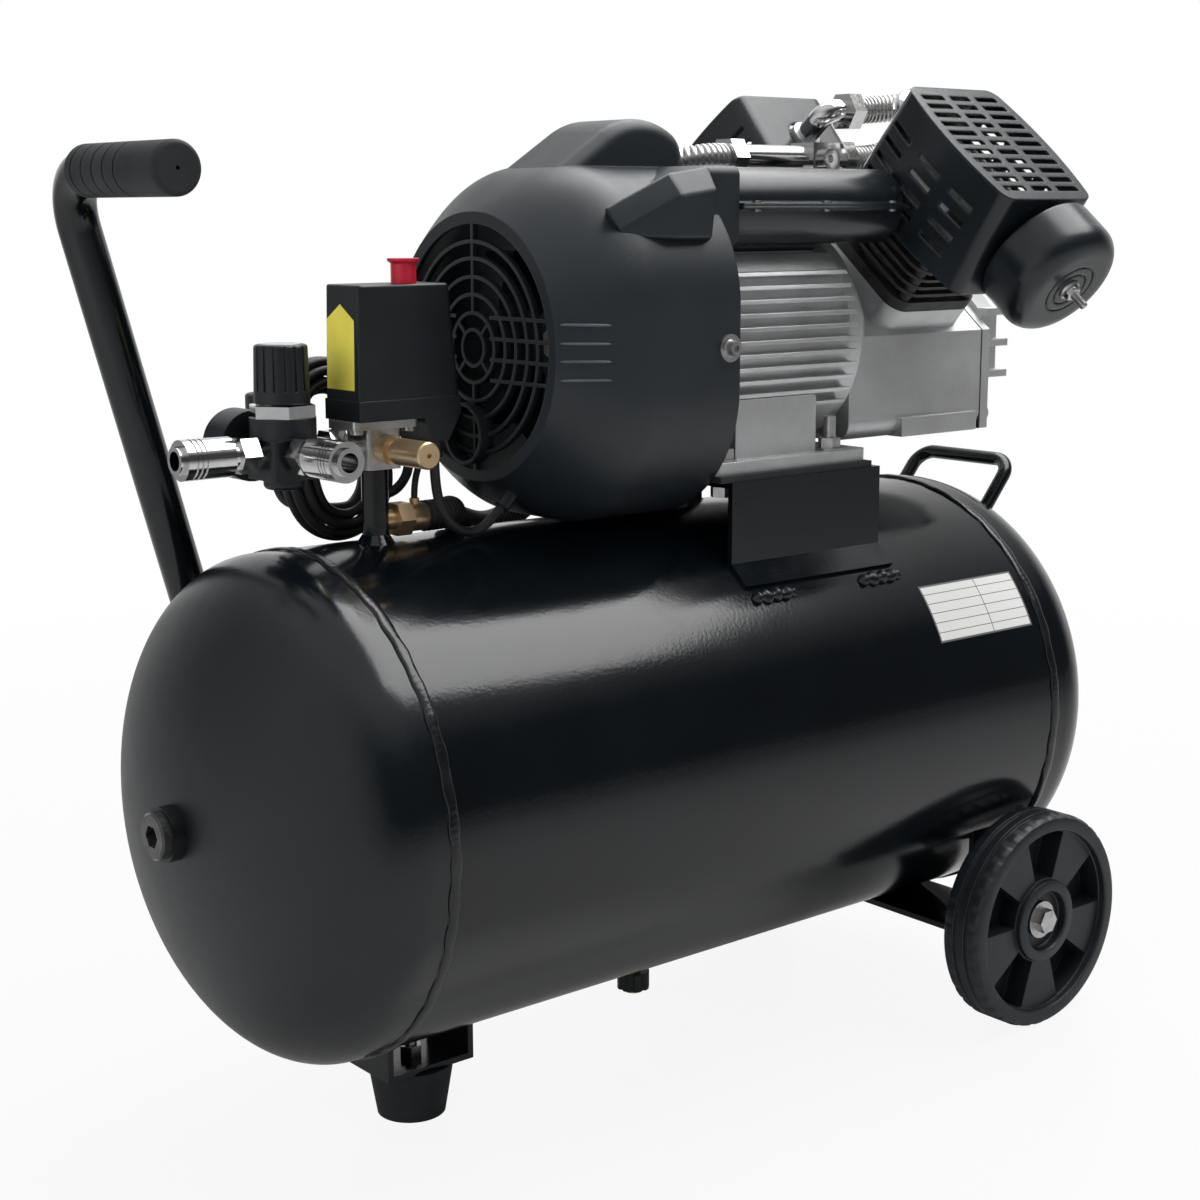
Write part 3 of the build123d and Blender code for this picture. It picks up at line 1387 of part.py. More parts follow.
pipe_bore = pipe_od - 2 * pipe_wall
port_t = head_t0 - port_proud
cross_far = port_point(1, far_x, cross_port_far, port_n, port_t - elbow_reach)
cross_near = port_point(-1, near_x, cross_port_near, port_n, port_t - near_elbow_reach)
crossover_points = (
    port_point(1, far_x, cross_port_far, port_n, port_t),
    cross_far,
    (258, 29, 628),
    (288, 0, 632),
    (264, -24, 632),
    cross_near,
    port_point(-1, near_x, cross_port_near, port_n, port_t),
)
near_hose_points = (
    (line_x1, line_y, line_z),
    (238, line_y, line_z),
    (247, -6, 600),
    port_point(-1, near_x, line_port, line_n, port_t - 16),
    port_point(-1, near_x, line_port, line_n, port_t),
)
with BuildPart() as discharge_pipes:
    add(tube(crossover_points, pipe_od, pipe_bore))
    with BuildSketch(Plane.YZ.offset(cross_far[0] + pipe_od)):
        with Locations((cross_far[1], cross_far[2])):
            RegularPolygon(pipe_nut_hex / 2, 6, major_radius=False)
            Circle(pipe_od / 2 - pipe_wall / 2, mode=Mode.SUBTRACT)
    extrude(amount=pipe_nut_length)
    add(tube(near_hose_points, pipe_od, pipe_bore))
    with BuildSketch(Plane.YZ.offset(line_x0)):
        with Locations((line_y, line_z)):
            Circle(line_od / 2)
    extrude(amount=line_x1 - line_x0)
    for x in (line_x0, line_x1 - pipe_nut_length):
        with BuildSketch(Plane.YZ.offset(x)):
            with Locations((line_y, line_z)):
                RegularPolygon(pipe_nut_hex / 2, 6, major_radius=False)
        extrude(amount=pipe_nut_length)
    with Locations((tee_x, line_y, line_z)):
        Box(tee_length, pipe_nut_hex - 2, pipe_nut_hex - 2)
    with BuildSketch(Plane((tee_x, line_y - pipe_nut_hex / 2 + 1, line_z), z_dir=(0, -1, 0))):
        Circle(line_od / 2 - 2)
        RegularPolygon(3, 6, mode=Mode.SUBTRACT)
    extrude(amount=4)
    with BuildSketch(Plane.YZ.offset(line_x0)):
        with Locations((line_y, line_z)):
            Circle(pipe_bore / 2)
    extrude(amount=line_x1 - line_x0, mode=Mode.SUBTRACT)
discharge_pipes.part.label = "discharge_pipes"
export_step(discharge_pipes.part, "parts/discharge_pipes.step")

# Discharge hose: from the line's end down the far side of the motor to the check valve.
hose_points = (
    (line_x0, line_y, line_z),
    (74, line_y, line_z),
    (58, 40, 584),
    (52, 82, 556),
    (50, 104, 516),
    (50, 112, 466),
    (46, 114, 416),
    (30, 115, 378),
    (0, 112, 354),
    (-40, 98, 346),
    (-84, 76, 359),
    (-112, 42, 371.5),
    (-138, 0, check_z),
    (check_x1, 0, check_z),
)
with BuildPart() as discharge_hose:
    add(tube(hose_points, hose_od, hose_od - 3 * pipe_wall))
discharge_hose.part.label = "discharge_hose"
export_step(discharge_hose.part, "parts/discharge_hose.step")

# Riser: the short post welded on the tank that carries the switch and its fittings.
with BuildPart() as riser_pipe:
    with BuildSketch(Plane.XY.offset(tank_top_z - 4)):
        with Locations((post_x, 0)):
            Circle(bung_od / 2)
    with BuildSketch(Plane.XY.offset(tank_top_z + bung_height)):
        with Locations((post_x, 0)):
            Circle(port_thread_od / 2)
    loft()
    with Locations((tank_mid_x, 0, tank_axis_z)):
        Cylinder(tank_r, shell_length, rotation=(0, 90, 0), mode=Mode.SUBTRACT)
    with BuildSketch(Plane.XY.offset(tank_top_z - tank_wall - 2)):
        with Locations((post_x, 0)):
            Circle(port_thread_od / 2)
    extrude(amount=post_top_z - tank_top_z + tank_wall + 2)
    with BuildSketch(Plane.XY.offset(tank_top_z - tank_wall - 2)):
        with Locations((post_x, 0)):
            Circle(post_bore / 2)
    extrude(amount=post_top_z - tank_top_z + tank_wall + 2, mode=Mode.SUBTRACT)
riser_pipe.part.label = "riser_pipe"
export_step(riser_pipe.part, "parts/riser_pipe.step")

# Brass valves: the check valve beside the riser, and the safety valve on the manifold's near side.
safety_y0 = -manifold_side / 2
with BuildPart() as brass_valves:
    for x0, x1, od in (
        (post_x, check_hex_x0, check_od - 5),
        (check_body_x0, check_x1, check_od),
    ):
        with BuildSketch(Plane.YZ.offset(x0)):
            with Locations((0, check_z)):
                Circle(od / 2)
        extrude(amount=x1 - x0)
    with BuildSketch(Plane.YZ.offset(check_hex_x0)):
        with Locations((0, check_z)):
            RegularPolygon(check_hex / 2, 6, major_radius=False)
    extrude(amount=check_body_x0 - check_hex_x0)
    with Locations(((check_body_x0 + check_x1) / 2, 0, check_z)):
        Cylinder(
            check_nipple_od / 2, check_od / 2 + unloader_nipple,
            align=(Align.CENTER, Align.CENTER, Align.MIN),
        )
    with Locations((post_x, 0, check_z)):
        Cylinder(port_thread_od / 2, 4 * check_od, mode=Mode.SUBTRACT)
    for start, length, od in (
        (0, safety_collar, safety_od + 1),
        (safety_collar, safety_neck, safety_neck_od),
        (safety_collar + safety_neck, safety_drum, safety_od),
    ):
        with BuildSketch(Plane((post_x, safety_y0 - start, safety_z), z_dir=(0, -1, 0))):
            Circle(od / 2)
        extrude(amount=length)
    safety_tip = brass_valves.faces().sort_by(Axis.Y)[0]
    chamfer(safety_tip.edges(), 1)
    with BuildSketch(
        Plane((post_x, safety_y0 - safety_collar - safety_neck - safety_drum, safety_z), z_dir=(0, -1, 0))
    ):
        Circle(safety_hole / 2)
    extrude(amount=-safety_hole, mode=Mode.SUBTRACT)
brass_valves.part.label = "brass_valves"
export_step(brass_valves.part, "parts/brass_valves.step")

# Switch manifold: a zinc casting on the riser, with a flange that carries the pressure switch.
with BuildPart() as switch_manifold:
    with BuildSketch(Plane.XY.offset(post_top_z)):
        with Locations((post_x, 0)):
            RectangleRounded(manifold_side, manifold_side, 3)
    extrude(amount=manifold_top_z - post_top_z)
    with BuildSketch(Plane.XY.offset(manifold_top_z - manifold_flange_thick)):
        with Locations((post_x, 0)):
            RectangleRounded(manifold_flange_length, manifold_flange_width, 4)
    extrude(amount=manifold_flange_thick)
    boss_z = coupler_z + nipple_od / 2 + 0.5
    with BuildSketch(Plane.XY.offset(boss_z)):
        with Locations((post_x, 0)):
            with GridLocations(manifold_flange_length - 10, manifold_flange_width - 10, 2, 2):
                Circle(4)
    extrude(amount=manifold_top_z - boss_z)
switch_manifold.part.label = "switch_manifold"
export_step(switch_manifold.part, "parts/switch_manifold.step")

# Switch base: a moulded tray with a deeper pocket at its right end for the motor's lead.
switch_mid_x = (switch_x0 + switch_x1) / 2
switch_length = switch_x1 - switch_x0
with BuildPart() as switch_base:
    with BuildSketch(Plane.XZ.offset(-switch_half_y)):
        with BuildLine():
            Polyline(
                (switch_x0, manifold_top_z),
                (switch_pocket_x0, manifold_top_z),
                (switch_pocket_x0 + 5, switch_pocket_z),
                (switch_x1 - 9, switch_pocket_z),
                (switch_x1, manifold_top_z + 2),
                (switch_x1, switch_split_z),
                (switch_x0, switch_split_z),
                close=True,
            )
        make_face()
    extrude(amount=2 * switch_half_y)
    with BuildSketch(Plane.XY.offset(manifold_top_z + 2 * switch_wall)):
        with Locations((switch_mid_x, 0)):
            Rectangle(switch_length - 4 * switch_wall, 2 * switch_half_y - 4 * switch_wall)
    extrude(amount=switch_split_z - manifold_top_z, mode=Mode.SUBTRACT)
    with BuildSketch(Plane.XY.offset(switch_pocket_z)):
        with Locations((lead_x, lead_y), (mains_x, mains_y)):
            Circle(lead_gland_od / 2)
    extrude(amount=-lead_gland)
    with BuildSketch(Plane.XY.offset(switch_pocket_z)):
        with Locations((unloader_x, unloader_y)):
            Circle(unloader_nipple_od / 2)
    extrude(amount=-unloader_nipple)
switch_base.part.label = "switch_base"
export_step(switch_base.part, "parts/switch_base.step")

# Switch cover: a drafted box over the contacts, with a hole for the knob in its top.


def switch_form(inset, top):
    """Drafted block of the switch cover, its walls moved inwards by inset."""
    rise = switch_top_z - switch_split_z
    with BuildPart() as block:
        for z, share in ((switch_split_z, 0.0), (top, (top - switch_split_z) / rise)):
            x0 = switch_x0 + share * switch_draft + inset
            x1 = switch_x1 - share * switch_end_draft - inset
            with BuildSketch(Plane.XY.offset(z)):
                with Locations(((x0 + x1) / 2, 0)):
                    RectangleRounded(x1 - x0, 2 * (switch_half_y - share * switch_draft - inset), 3 - inset)
        loft()
    return block.part


with BuildPart() as switch_cover:
    add(switch_form(0, switch_top_z))
    fillet(switch_cover.faces().sort_by(Axis.Z)[-1].edges(), 1.5)
    add(switch_form(switch_wall, switch_top_z - switch_wall), mode=Mode.SUBTRACT)
    with Locations((knob_x, knob_y, switch_top_z)):
        Cylinder(knob_neck_od / 2 + knob_gap, 4 * switch_wall, mode=Mode.SUBTRACT)
switch_cover.part.label = "switch_cover"
export_step(switch_cover.part, "parts/switch_cover.step")

# Switch knob: a red push-pull knob with a collar that stops it under the cover's top.
with BuildPart() as switch_knob:
    collar_z = switch_top_z - switch_wall - knob_gap
    with BuildSketch(Plane.XY.offset(collar_z)):
        with Locations((knob_x, knob_y)):
            Circle(knob_neck_od / 2 + 2)
    extrude(amount=-knob_flange)
    with BuildSketch(Plane.XY.offset(collar_z)):
        with Locations((knob_x, knob_y)):
            Circle(knob_neck_od / 2)
    extrude(amount=knob_top_z - collar_z)
    with BuildSketch(Plane.XY.offset(knob_top_z - knob_flange)):
        with Locations((knob_x, knob_y)):
            Circle(knob_neck_od / 2)
    with BuildSketch(Plane.XY.offset(knob_top_z - knob_flange / 2)):
        with Locations((knob_x, knob_y)):
            Circle(knob_od / 2)
    loft()
    with BuildSketch(Plane.XY.offset(knob_top_z - knob_flange / 2)):
        with Locations((knob_x, knob_y)):
            Circle(knob_od / 2)
    extrude(amount=knob_flange / 2)
switch_knob.part.label = "switch_knob"
export_step(switch_knob.part, "parts/switch_knob.step")

# Regulator body: a square valve block with a round bonnet, a bowl below and the knob's stem on top.
regulator_half = regulator_side / 2
with BuildPart() as regulator_body:
    with BuildSketch(Plane.XY.offset(regulator_base_z)):
        with Locations((regulator_x, 0)):
            RectangleRounded(regulator_side, regulator_side, 4)
    extrude(amount=regulator_split_z - regulator_base_z)
    for z0, z1, od in (
        (regulator_base_z - regulator_bowl, regulator_base_z, regulator_bowl_od),
        (regulator_split_z, regulator_top_z, regulator_od),
        (regulator_top_z, regulator_knob_z1 - 2 * regulator_nut_height, regulator_stem_od),
    ):
        with BuildSketch(Plane.XY.offset(z0)):
            with Locations((regulator_x, 0)):
                Circle(od / 2)
        extrude(amount=z1 - z0)
    fillet(regulator_body.faces().sort_by(Axis.Z)[0].edges(), regulator_bowl / 2)
regulator_body.part.label = "regulator_body"
export_step(regulator_body.part, "parts/regulator_body.step")

# Regulator knob: a ribbed cap that turns on the regulator's stem.
with BuildPart() as regulator_knob:
    with BuildSketch(Plane.XY.offset(regulator_knob_z0)):
        with Locations((regulator_x, 0)):
            Circle(regulator_knob_od / 2)
    extrude(amount=regulator_knob_z1 - regulator_knob_z0, taper=1.5)
    fillet(regulator_knob.faces().sort_by(Axis.Z)[-1].edges(), 2)
    with BuildSketch(Plane.XY.offset(regulator_knob_z0 + regulator_nut_height)):
        with Locations((regulator_x, 0)):
            with PolarLocations(regulator_knob_od / 2, knob_groove_count):
                Rectangle(3, 1.6)
    extrude(amount=regulator_knob_z1 - regulator_knob_z0, mode=Mode.SUBTRACT)
    with BuildSketch(Plane.XY.offset(regulator_knob_z0)):
        with Locations((regulator_x, 0)):
            Circle(regulator_stem_od / 2 + running_gap)
    extrude(
        amount=regulator_knob_z1 - 2 * regulator_nut_height + end_play - regulator_knob_z0,
        mode=Mode.SUBTRACT,
    )
regulator_knob.part.label = "regulator_knob"
export_step(regulator_knob.part, "parts/regulator_knob.step")

# Gauge case: a round can behind the regulator, open to its dial, with the needle's post.
gauge_y0 = regulator_half + gauge_stem
dial_y = gauge_y0 + gauge_depth - gauge_dial_depth
gauge_plane = Plane((gauge_x, regulator_half, gauge_z), x_dir=(-1, 0, 0), z_dir=(0, 1, 0))
with BuildPart() as gauge_case:
    with BuildSketch(gauge_plane):
        Circle(gauge_stem_od / 2)
    extrude(amount=gauge_stem)
    with BuildSketch(gauge_plane.offset(gauge_stem)):
        Circle(gauge_od / 2)
    extrude(amount=gauge_depth)
    with BuildSketch(gauge_plane.offset(dial_y - regulator_half)):
        Circle(gauge_od / 2 - gauge_wall)
    extrude(amount=gauge_dial_depth, mode=Mode.SUBTRACT)
    with BuildSketch(gauge_plane.offset(dial_y - regulator_half)):
        Circle(gauge_post_od / 2)
    extrude(amount=gauge_dial_depth / 2)
gauge_case.part.label = "gauge_case"
export_step(gauge_case.part, "parts/gauge_case.step")

# Gauge needle: a pointer on a small hub; at rest it points down and left on the dial, at zero.
with BuildPart() as gauge_needle:
    with BuildSketch(gauge_plane.offset(dial_y - regulator_half + end_play)):
        Circle(needle_hub_od / 2)
        with Locations(Location((0, 0), -135)):
            with Locations((needle_length / 2 - 2, 0)):
                Rectangle(needle_length, needle_thick)
        Circle(gauge_post_od / 2 + running_gap, mode=Mode.SUBTRACT)
    extrude(amount=needle_thick)
gauge_needle.part.label = "gauge_needle"
export_step(gauge_needle.part, "parts/gauge_needle.step")

# Chrome fittings: the regulator's bonnet nut, the nipple to the manifold and the two coupler bodies.
couplers = (
    ("left", Plane((regulator_x - regulator_half, 0, coupler_z), x_dir=(0, 1, 0), z_dir=(-1, 0, 0))),
    ("front", Plane((regulator_x, -regulator_half, coupler_z), x_dir=(1, 0, 0), z_dir=(0, -1, 0))),
)
nipple_x0 = regulator_x + regulator_half
nipple_x1 = post_x - manifold_side / 2
with BuildPart() as chrome_fittings:
    with BuildSketch(Plane.XY.offset(regulator_top_z)):
        with Locations((regulator_x, 0)):
            RegularPolygon(regulator_nut_hex / 2, 6, major_radius=False, rotation=10)
            Circle(regulator_stem_od / 2, mode=Mode.SUBTRACT)
    extrude(amount=regulator_nut_height)
    with BuildSketch(Plane.YZ.offset(nipple_x0)):
        with Locations((0, coupler_z)):
            Circle(nipple_od / 2)
    extrude(amount=nipple_x1 - nipple_x0)
    with BuildSketch(Plane.YZ.offset((nipple_x0 + nipple_x1 - coupler_hex_length) / 2)):
        with Locations((0, coupler_z)):
            RegularPolygon(coupler_hex / 2, 6, major_radius=False)
    extrude(amount=coupler_hex_length)
    for side, seat in couplers:
        with BuildSketch(seat):
            Circle(coupler_body_od / 2 - 1)
        extrude(amount=coupler_stub)
        with BuildSketch(seat.offset(coupler_stub)):
            RegularPolygon(coupler_hex / 2, 6, major_radius=False)
        extrude(amount=coupler_hex_length)
        with BuildSketch(seat.offset(coupler_stub + coupler_hex_length)):
            Circle(coupler_body_od / 2)
        extrude(amount=coupler_length - coupler_stub - coupler_hex_length)
        with BuildSketch(seat.offset(coupler_length)):
            Circle(coupler_bore / 2)
        extrude(amount=-coupler_bore_depth, mode=Mode.SUBTRACT)
chrome_fittings.part.label = "chrome_fittings"
export_step(chrome_fittings.part, "parts/chrome_fittings.step")

# Coupler sleeves: ringed collars that are pulled back to release a plug.
for side, seat in couplers:
    with BuildPart() as coupler_sleeve:
        sleeve_start = coupler_length - coupler_lip - coupler_sleeve_length
        with BuildSketch(seat.offset(sleeve_start)):
            Circle(coupler_sleeve_od / 2)
        extrude(amount=coupler_sleeve_length)
        for ring in range(3):
            with BuildSketch(seat.offset(sleeve_start + coupler_sleeve_length - 12 + 3 * ring)):
                Circle(coupler_sleeve_od / 2 + 1)
                Circle(coupler_sleeve_od / 2 - 0.8, mode=Mode.SUBTRACT)
            extrude(amount=1.4, mode=Mode.SUBTRACT)
        with BuildSketch(seat.offset(sleeve_start)):
            Circle(coupler_body_od / 2 + running_gap)
        extrude(amount=coupler_sleeve_length, mode=Mode.SUBTRACT)
    coupler_sleeve.part.label = f"coupler_sleeve_{side}"
    export_step(coupler_sleeve.part, f"parts/coupler_sleeve_{side}.step")

# Foot bracket: a folded channel welded under the tank, with a rubber foot bolted to its plate.
with BuildPart() as foot_bracket:
    with BuildSketch(Plane.XY.offset(foot_height)):
        with Locations((foot_x, 0)):
            Rectangle(foot_plate_length, foot_plate_depth)
            Circle(foot_bolt_od / 2, mode=Mode.SUBTRACT)
    extrude(amount=sheet)
    for sign in (-1, 1):
        with Locations((foot_x + sign * (foot_plate_length - sheet) / 2, 0, foot_height)):
            Box(
                sheet, foot_plate_depth, tank_bottom_z - foot_height + 2 * sheet,
                align=(Align.CENTER, Align.CENTER, Align.MIN),
            )
    with Locations((tank_mid_x, 0, tank_axis_z)):
        Cylinder(tank_r, shell_length, rotation=(0, 90, 0), mode=Mode.SUBTRACT)
foot_bracket.part.label = "foot_bracket"
export_step(foot_bracket.part, "parts/foot_bracket.step")

with BuildPart() as rubber_foot:
    with BuildSketch(Plane.XY):
        with Locations((foot_x, 0)):
            Circle(foot_bottom_od / 2)
    with BuildSketch(Plane.XY.offset(foot_height)):
        with Locations((foot_x, 0)):
            Circle(foot_top_od / 2)
    loft()
    with BuildSketch(Plane.XY):
        with Locations((foot_x, 0)):
            Circle(nut_hex * 0.65)
    extrude(amount=foot_recess, mode=Mode.SUBTRACT)
    with BuildSketch(Plane.XY):
        with Locations((foot_x, 0)):
            Circle(foot_bolt_od / 2)
    extrude(amount=foot_height, mode=Mode.SUBTRACT)
rubber_foot.part.label = "rubber_foot"
export_step(rubber_foot.part, "parts/rubber_foot.step")

# Axle bracket: a wide steel strap under the tank whose upturned ends carry the wheels.
strap_x0 = wheel_x - strap_width / 2
with BuildPart() as axle_bracket:
    with BuildSketch(Plane.YZ.offset(strap_x0)):
        with Locations((0, tank_bottom_z - sheet / 2)):
            Rectangle(2 * strap_y, sheet)
        for sign in (-1, 1):
            with Locations((sign * (strap_y - sheet / 2), (tank_bottom_z - sheet + tank_axis_z) / 2)):
                Rectangle(sheet, tank_axis_z - tank_bottom_z + sheet)
    extrude(amount=strap_width)
    with Locations((strap_x0 + strap_width / 2, 0, tank_axis_z)):
        Cylinder(tank_r, 2 * strap_width, rotation=(0, 90, 0), mode=Mode.SUBTRACT)
    with Locations((seam_right, 0, tank_axis_z)):
        Cylinder(tank_r + weld_proud, weld_width, rotation=(0, 90, 0), mode=Mode.SUBTRACT)
    with Locations((wheel_x, 0, wheel_z)):
        Cylinder(axle_od / 2, 4 * strap_y, rotation=(90, 0, 0), mode=Mode.SUBTRACT)
axle_bracket.part.label = "axle_bracket"
export_step(axle_bracket.part, "parts/axle_bracket.step")

# Wheels: moulded discs with pockets between raised panels, a notched tread and a sunk hub.
tyre_inner_r = wheel_od / 2 - tyre_depth
pocket_r0 = hub_od / 2 + 4
pocket_r1 = tyre_inner_r - 2
pocket_half = 180 / spoke_count / 2
for side, sign in (("near", -1), ("far", 1)):
    face = Plane((wheel_x, sign * wheel_outer_y, wheel_z), x_dir=(1, 0, 0), z_dir=(0, sign, 0))
    with BuildPart() as wheel:
        with BuildSketch(face):
            Circle(wheel_od / 2)
        extrude(amount=-wheel_width)
        chamfer(wheel.edges().filter_by(GeomType.CIRCLE), tyre_shoulder)
        for level, way in ((0, -1), (-wheel_width, 1)):
            with BuildSketch(face.offset(level)):
                Circle(tyre_inner_r)
                Circle(hub_od / 2, mode=Mode.SUBTRACT)
            extrude(amount=way * face_recess, mode=Mode.SUBTRACT)
        for spoke in range(spoke_count):
            middle = 90 + spoke * 360 / spoke_count
            with BuildSketch(face):
                with BuildLine():
                    outer_arc = CenterArc((0, 0), pocket_r1, middle - pocket_half, 2 * pocket_half)
                    inner_arc = CenterArc((0, 0), pocket_r0, middle - pocket_half, 2 * pocket_half)
                    Line(outer_arc @ 0, inner_arc @ 0)
                    Line(outer_arc @ 1, inner_arc @ 1)
                make_face()
            extrude(amount=-(wheel_width - pocket_floor), mode=Mode.SUBTRACT)
        for level in (-tyre_shoulder / 2, tyre_shoulder / 2 - wheel_width):
            with BuildSketch(face.offset(level - tyre_shoulder / 2)):
                with PolarLocations(wheel_od / 2, notch_count):
                    Rectangle(2 * notch_depth, 2 * notch_depth)
            extrude(amount=tyre_shoulder, mode=Mode.SUBTRACT)
        with BuildSketch(face.offset(-wheel_width)):
            Circle(hub_boss_od / 2)
        extrude(amount=-(wheel_outer_y - wheel_width - strap_y - washer_thick - end_play))
        with BuildSketch(face):
            Circle(washer_od / 2 + 2)
        extrude(amount=-hub_recess, mode=Mode.SUBTRACT)
        with BuildSketch(face):
            Circle(axle_od / 2 + running_gap)
        extrude(amount=-2 * wheel_width, mode=Mode.SUBTRACT)
    wheel.part.label = f"wheel_{side}"
    export_step(wheel.part, f"parts/wheel_{side}.step")

# Push handle: a bent steel tube welded to the far side of the tank, with a rubber grip.
lean_tan = tan(radians(handle_lean))
handle_top_x = handle_foot_x - lean_tan * (handle_top_z - handle_foot_z)
grip_y0 = handle_y - handle_bend
grip_y1 = grip_y0 - grip_length
with BuildPart() as push_handle:
    with BuildLine() as bar:
        FilletPolyline(
            (handle_foot_x + lean_tan * handle_sink, handle_y, handle_foot_z - handle_sink),
            (handle_top_x, handle_y, handle_top_z),
            (handle_top_x, grip_y1 + grip_cap, handle_top_z),
            radius=handle_bend,
        )
    with BuildSketch(Plane(bar.line @ 0, z_dir=bar.line % 0)):
        Circle(handle_tube_od / 2)
        Circle(handle_tube_od / 2 - handle_tube_wall, mode=Mode.SUBTRACT)
    sweep()
    with Locations((tank_mid_x, 0, tank_axis_z)):
        Cylinder(
            tank_r, shell_length + 2 * (head_flange + handle_tube_od), rotation=(0, 90, 0),
            mode=Mode.SUBTRACT,
        )
    with Locations((seam_left, 0, tank_axis_z)):
        Cylinder(tank_r + weld_proud, weld_width, rotation=(0, 90, 0), mode=Mode.SUBTRACT)
push_handle.part.label = "push_handle"
export_step(push_handle.part, "parts/push_handle.step")

with BuildPart() as handle_grip:
    grip_plane = Plane((handle_top_x, grip_y0, handle_top_z), x_dir=(1, 0, 0), z_dir=(0, -1, 0))
    with BuildSketch(grip_plane):
        Circle(grip_od / 2)
    extrude(amount=grip_length)
    fillet(handle_grip.faces().sort_by(Axis.Y)[0].edges(), 3)
    for groove in range(grip_groove_count):
        with BuildSketch(grip_plane.offset((groove + 0.5) * grip_groove_pitch)):
            Circle(grip_od / 2 + 1)
            Circle(grip_od / 2 - grip_groove, mode=Mode.SUBTRACT)
        extrude(amount=grip_groove, mode=Mode.SUBTRACT)
    with BuildSketch(grip_plane):
        Circle(handle_tube_od / 2)
    extrude(amount=grip_length - grip_cap, mode=Mode.SUBTRACT)
    with BuildSketch(grip_plane.offset(grip_length)):
        Circle(grip_groove)
    extrude(amount=-grip_cap, mode=Mode.SUBTRACT)
handle_grip.part.label = "handle_grip"
export_step(handle_grip.part, "parts/handle_grip.step")

# Carry handle: a round bar bent to a loop and welded to the right head.
right_rim_x = seam_right + head_flange
with BuildPart() as carry_handle:
    with BuildLine() as loop:
        FilletPolyline(
            (carry_foot_x, -carry_half_span, carry_foot_z),
            (carry_top_x, -carry_half_span, carry_top_z),
            (carry_top_x, carry_half_span, carry_top_z),
            (carry_foot_x, carry_half_span, carry_foot_z),
            radius=carry_bend,
        )
    with BuildSketch(Plane(loop.line @ 0, z_dir=loop.line % 0)):
        Circle(carry_bar_od / 2)
    sweep()
    with BuildSketch(Plane((0, 0, tank_axis_z), x_dir=(1, 0, 0), z_dir=(0, -1, 0))):
        with BuildLine():
            dome = EllipticalCenterArc((right_rim_x, 0), dome_depth, tank_r, 0, arc_size=90)
            Polyline(dome @ 1, (right_rim_x, 0), dome @ 0)
        make_face()
    revolve(axis=tank_axis, mode=Mode.SUBTRACT)
carry_handle.part.label = "carry_handle"
export_step(carry_handle.part, "parts/carry_handle.step")

# Drain: a valve screwed into the bung under the tank, and the knob that opens it.
drain_seat_z = tank_bottom_z + tank_wall - bung_height
drain_hex_z = drain_seat_z - drain_hex_height
drain_knob_z = drain_hex_z - drain_knob_gap
with BuildPart() as drain_valve:
    with BuildSketch(Plane.XY.offset(drain_seat_z)):
        with Locations((drain_x, 0)):
            Circle(port_thread_od / 2)
    extrude(amount=2 * bung_height)
    with BuildSketch(Plane.XY.offset(drain_hex_z)):
        with Locations((drain_x, 0)):
            RegularPolygon(drain_hex / 2, 6, major_radius=False)
    extrude(amount=drain_hex_height)
    with BuildSketch(Plane.XY.offset(drain_hex_z)):
        with Locations((drain_x, 0)):
            Circle(drain_stem_od / 2)
    extrude(amount=-drain_stem)
    with BuildSketch(Plane.XY.offset(drain_knob_z - drain_knob_height - end_play)):
        with Locations((drain_x, 0)):
            Circle(drain_stem_od / 2 + 1.5)
    extrude(amount=-2)
drain_valve.part.label = "drain_valve"
export_step(drain_valve.part, "parts/drain_valve.step")

with BuildPart() as drain_knob:
    with BuildSketch(Plane.XY.offset(drain_knob_z)):
        with Locations((drain_x, 0)):
            Circle(drain_knob_od / 2)
            with PolarLocations(drain_knob_od / 2 + 1, 8):
                Circle(2.2, mode=Mode.SUBTRACT)
            Circle(drain_stem_od / 2 + running_gap, mode=Mode.SUBTRACT)
    extrude(amount=-drain_knob_height)
drain_knob.part.label = "drain_knob"
export_step(drain_knob.part, "parts/drain_knob.step")

# Mains cord: a tail from the switch's gland to the tied hank, which rests on the tank.
hank_end_z = tank_axis_z + sqrt((tank_r + hank_section / 2 + hank_gap) ** 2 - hank_y**2)
hank_z = hank_end_z + hank_bend + hank_half_straight * cos(radians(hank_tilt))
hank_plane = Plane(
    (hank_x, hank_y, hank_z),
    x_dir=(cos(radians(hank_tilt)), 0, sin(radians(hank_tilt))),
    z_dir=(0, -1, 0),
)
with BuildPart() as mains_cord:
    with BuildLine(hank_plane) as turns:
        right_side = Line((hank_bend, -hank_half_straight), (hank_bend, hank_half_straight))
        top_turn = ThreePointArc(
            right_side @ 1, (0, hank_half_straight + hank_bend), (-hank_bend, hank_half_straight)
        )
        left_side = Line(top_turn @ 1, (-hank_bend, -hank_half_straight))
        ThreePointArc(left_side @ 1, (0, -hank_half_straight - hank_bend), right_side @ 0)
    with BuildSketch(Plane(turns.line @ 0, z_dir=turns.line % 0)):
        Circle(hank_section / 2)
    sweep()
    tail_end = hank_plane.from_local_coords(
        Vector(hank_bend * cos(radians(tail_turn)), -hank_half_straight - hank_bend * sin(radians(tail_turn)), 0)
    )
    tail_z = switch_pocket_z - lead_gland
    tail_points = (
        (mains_x, mains_y, tail_z),
        (mains_x, mains_y + 1, tail_z - 10),
        (mains_x - 1.5, mains_y + 8, tail_z - 20),
        (mains_x - 4.5, mains_y + 18, tail_z - 28.5),
        (tail_end.X, tail_end.Y, tail_end.Z),
    )
    add(tube(tail_points, mains_od, 0))
mains_cord.part.label = "mains_cord"
export_step(mains_cord.part, "parts/mains_cord.step")

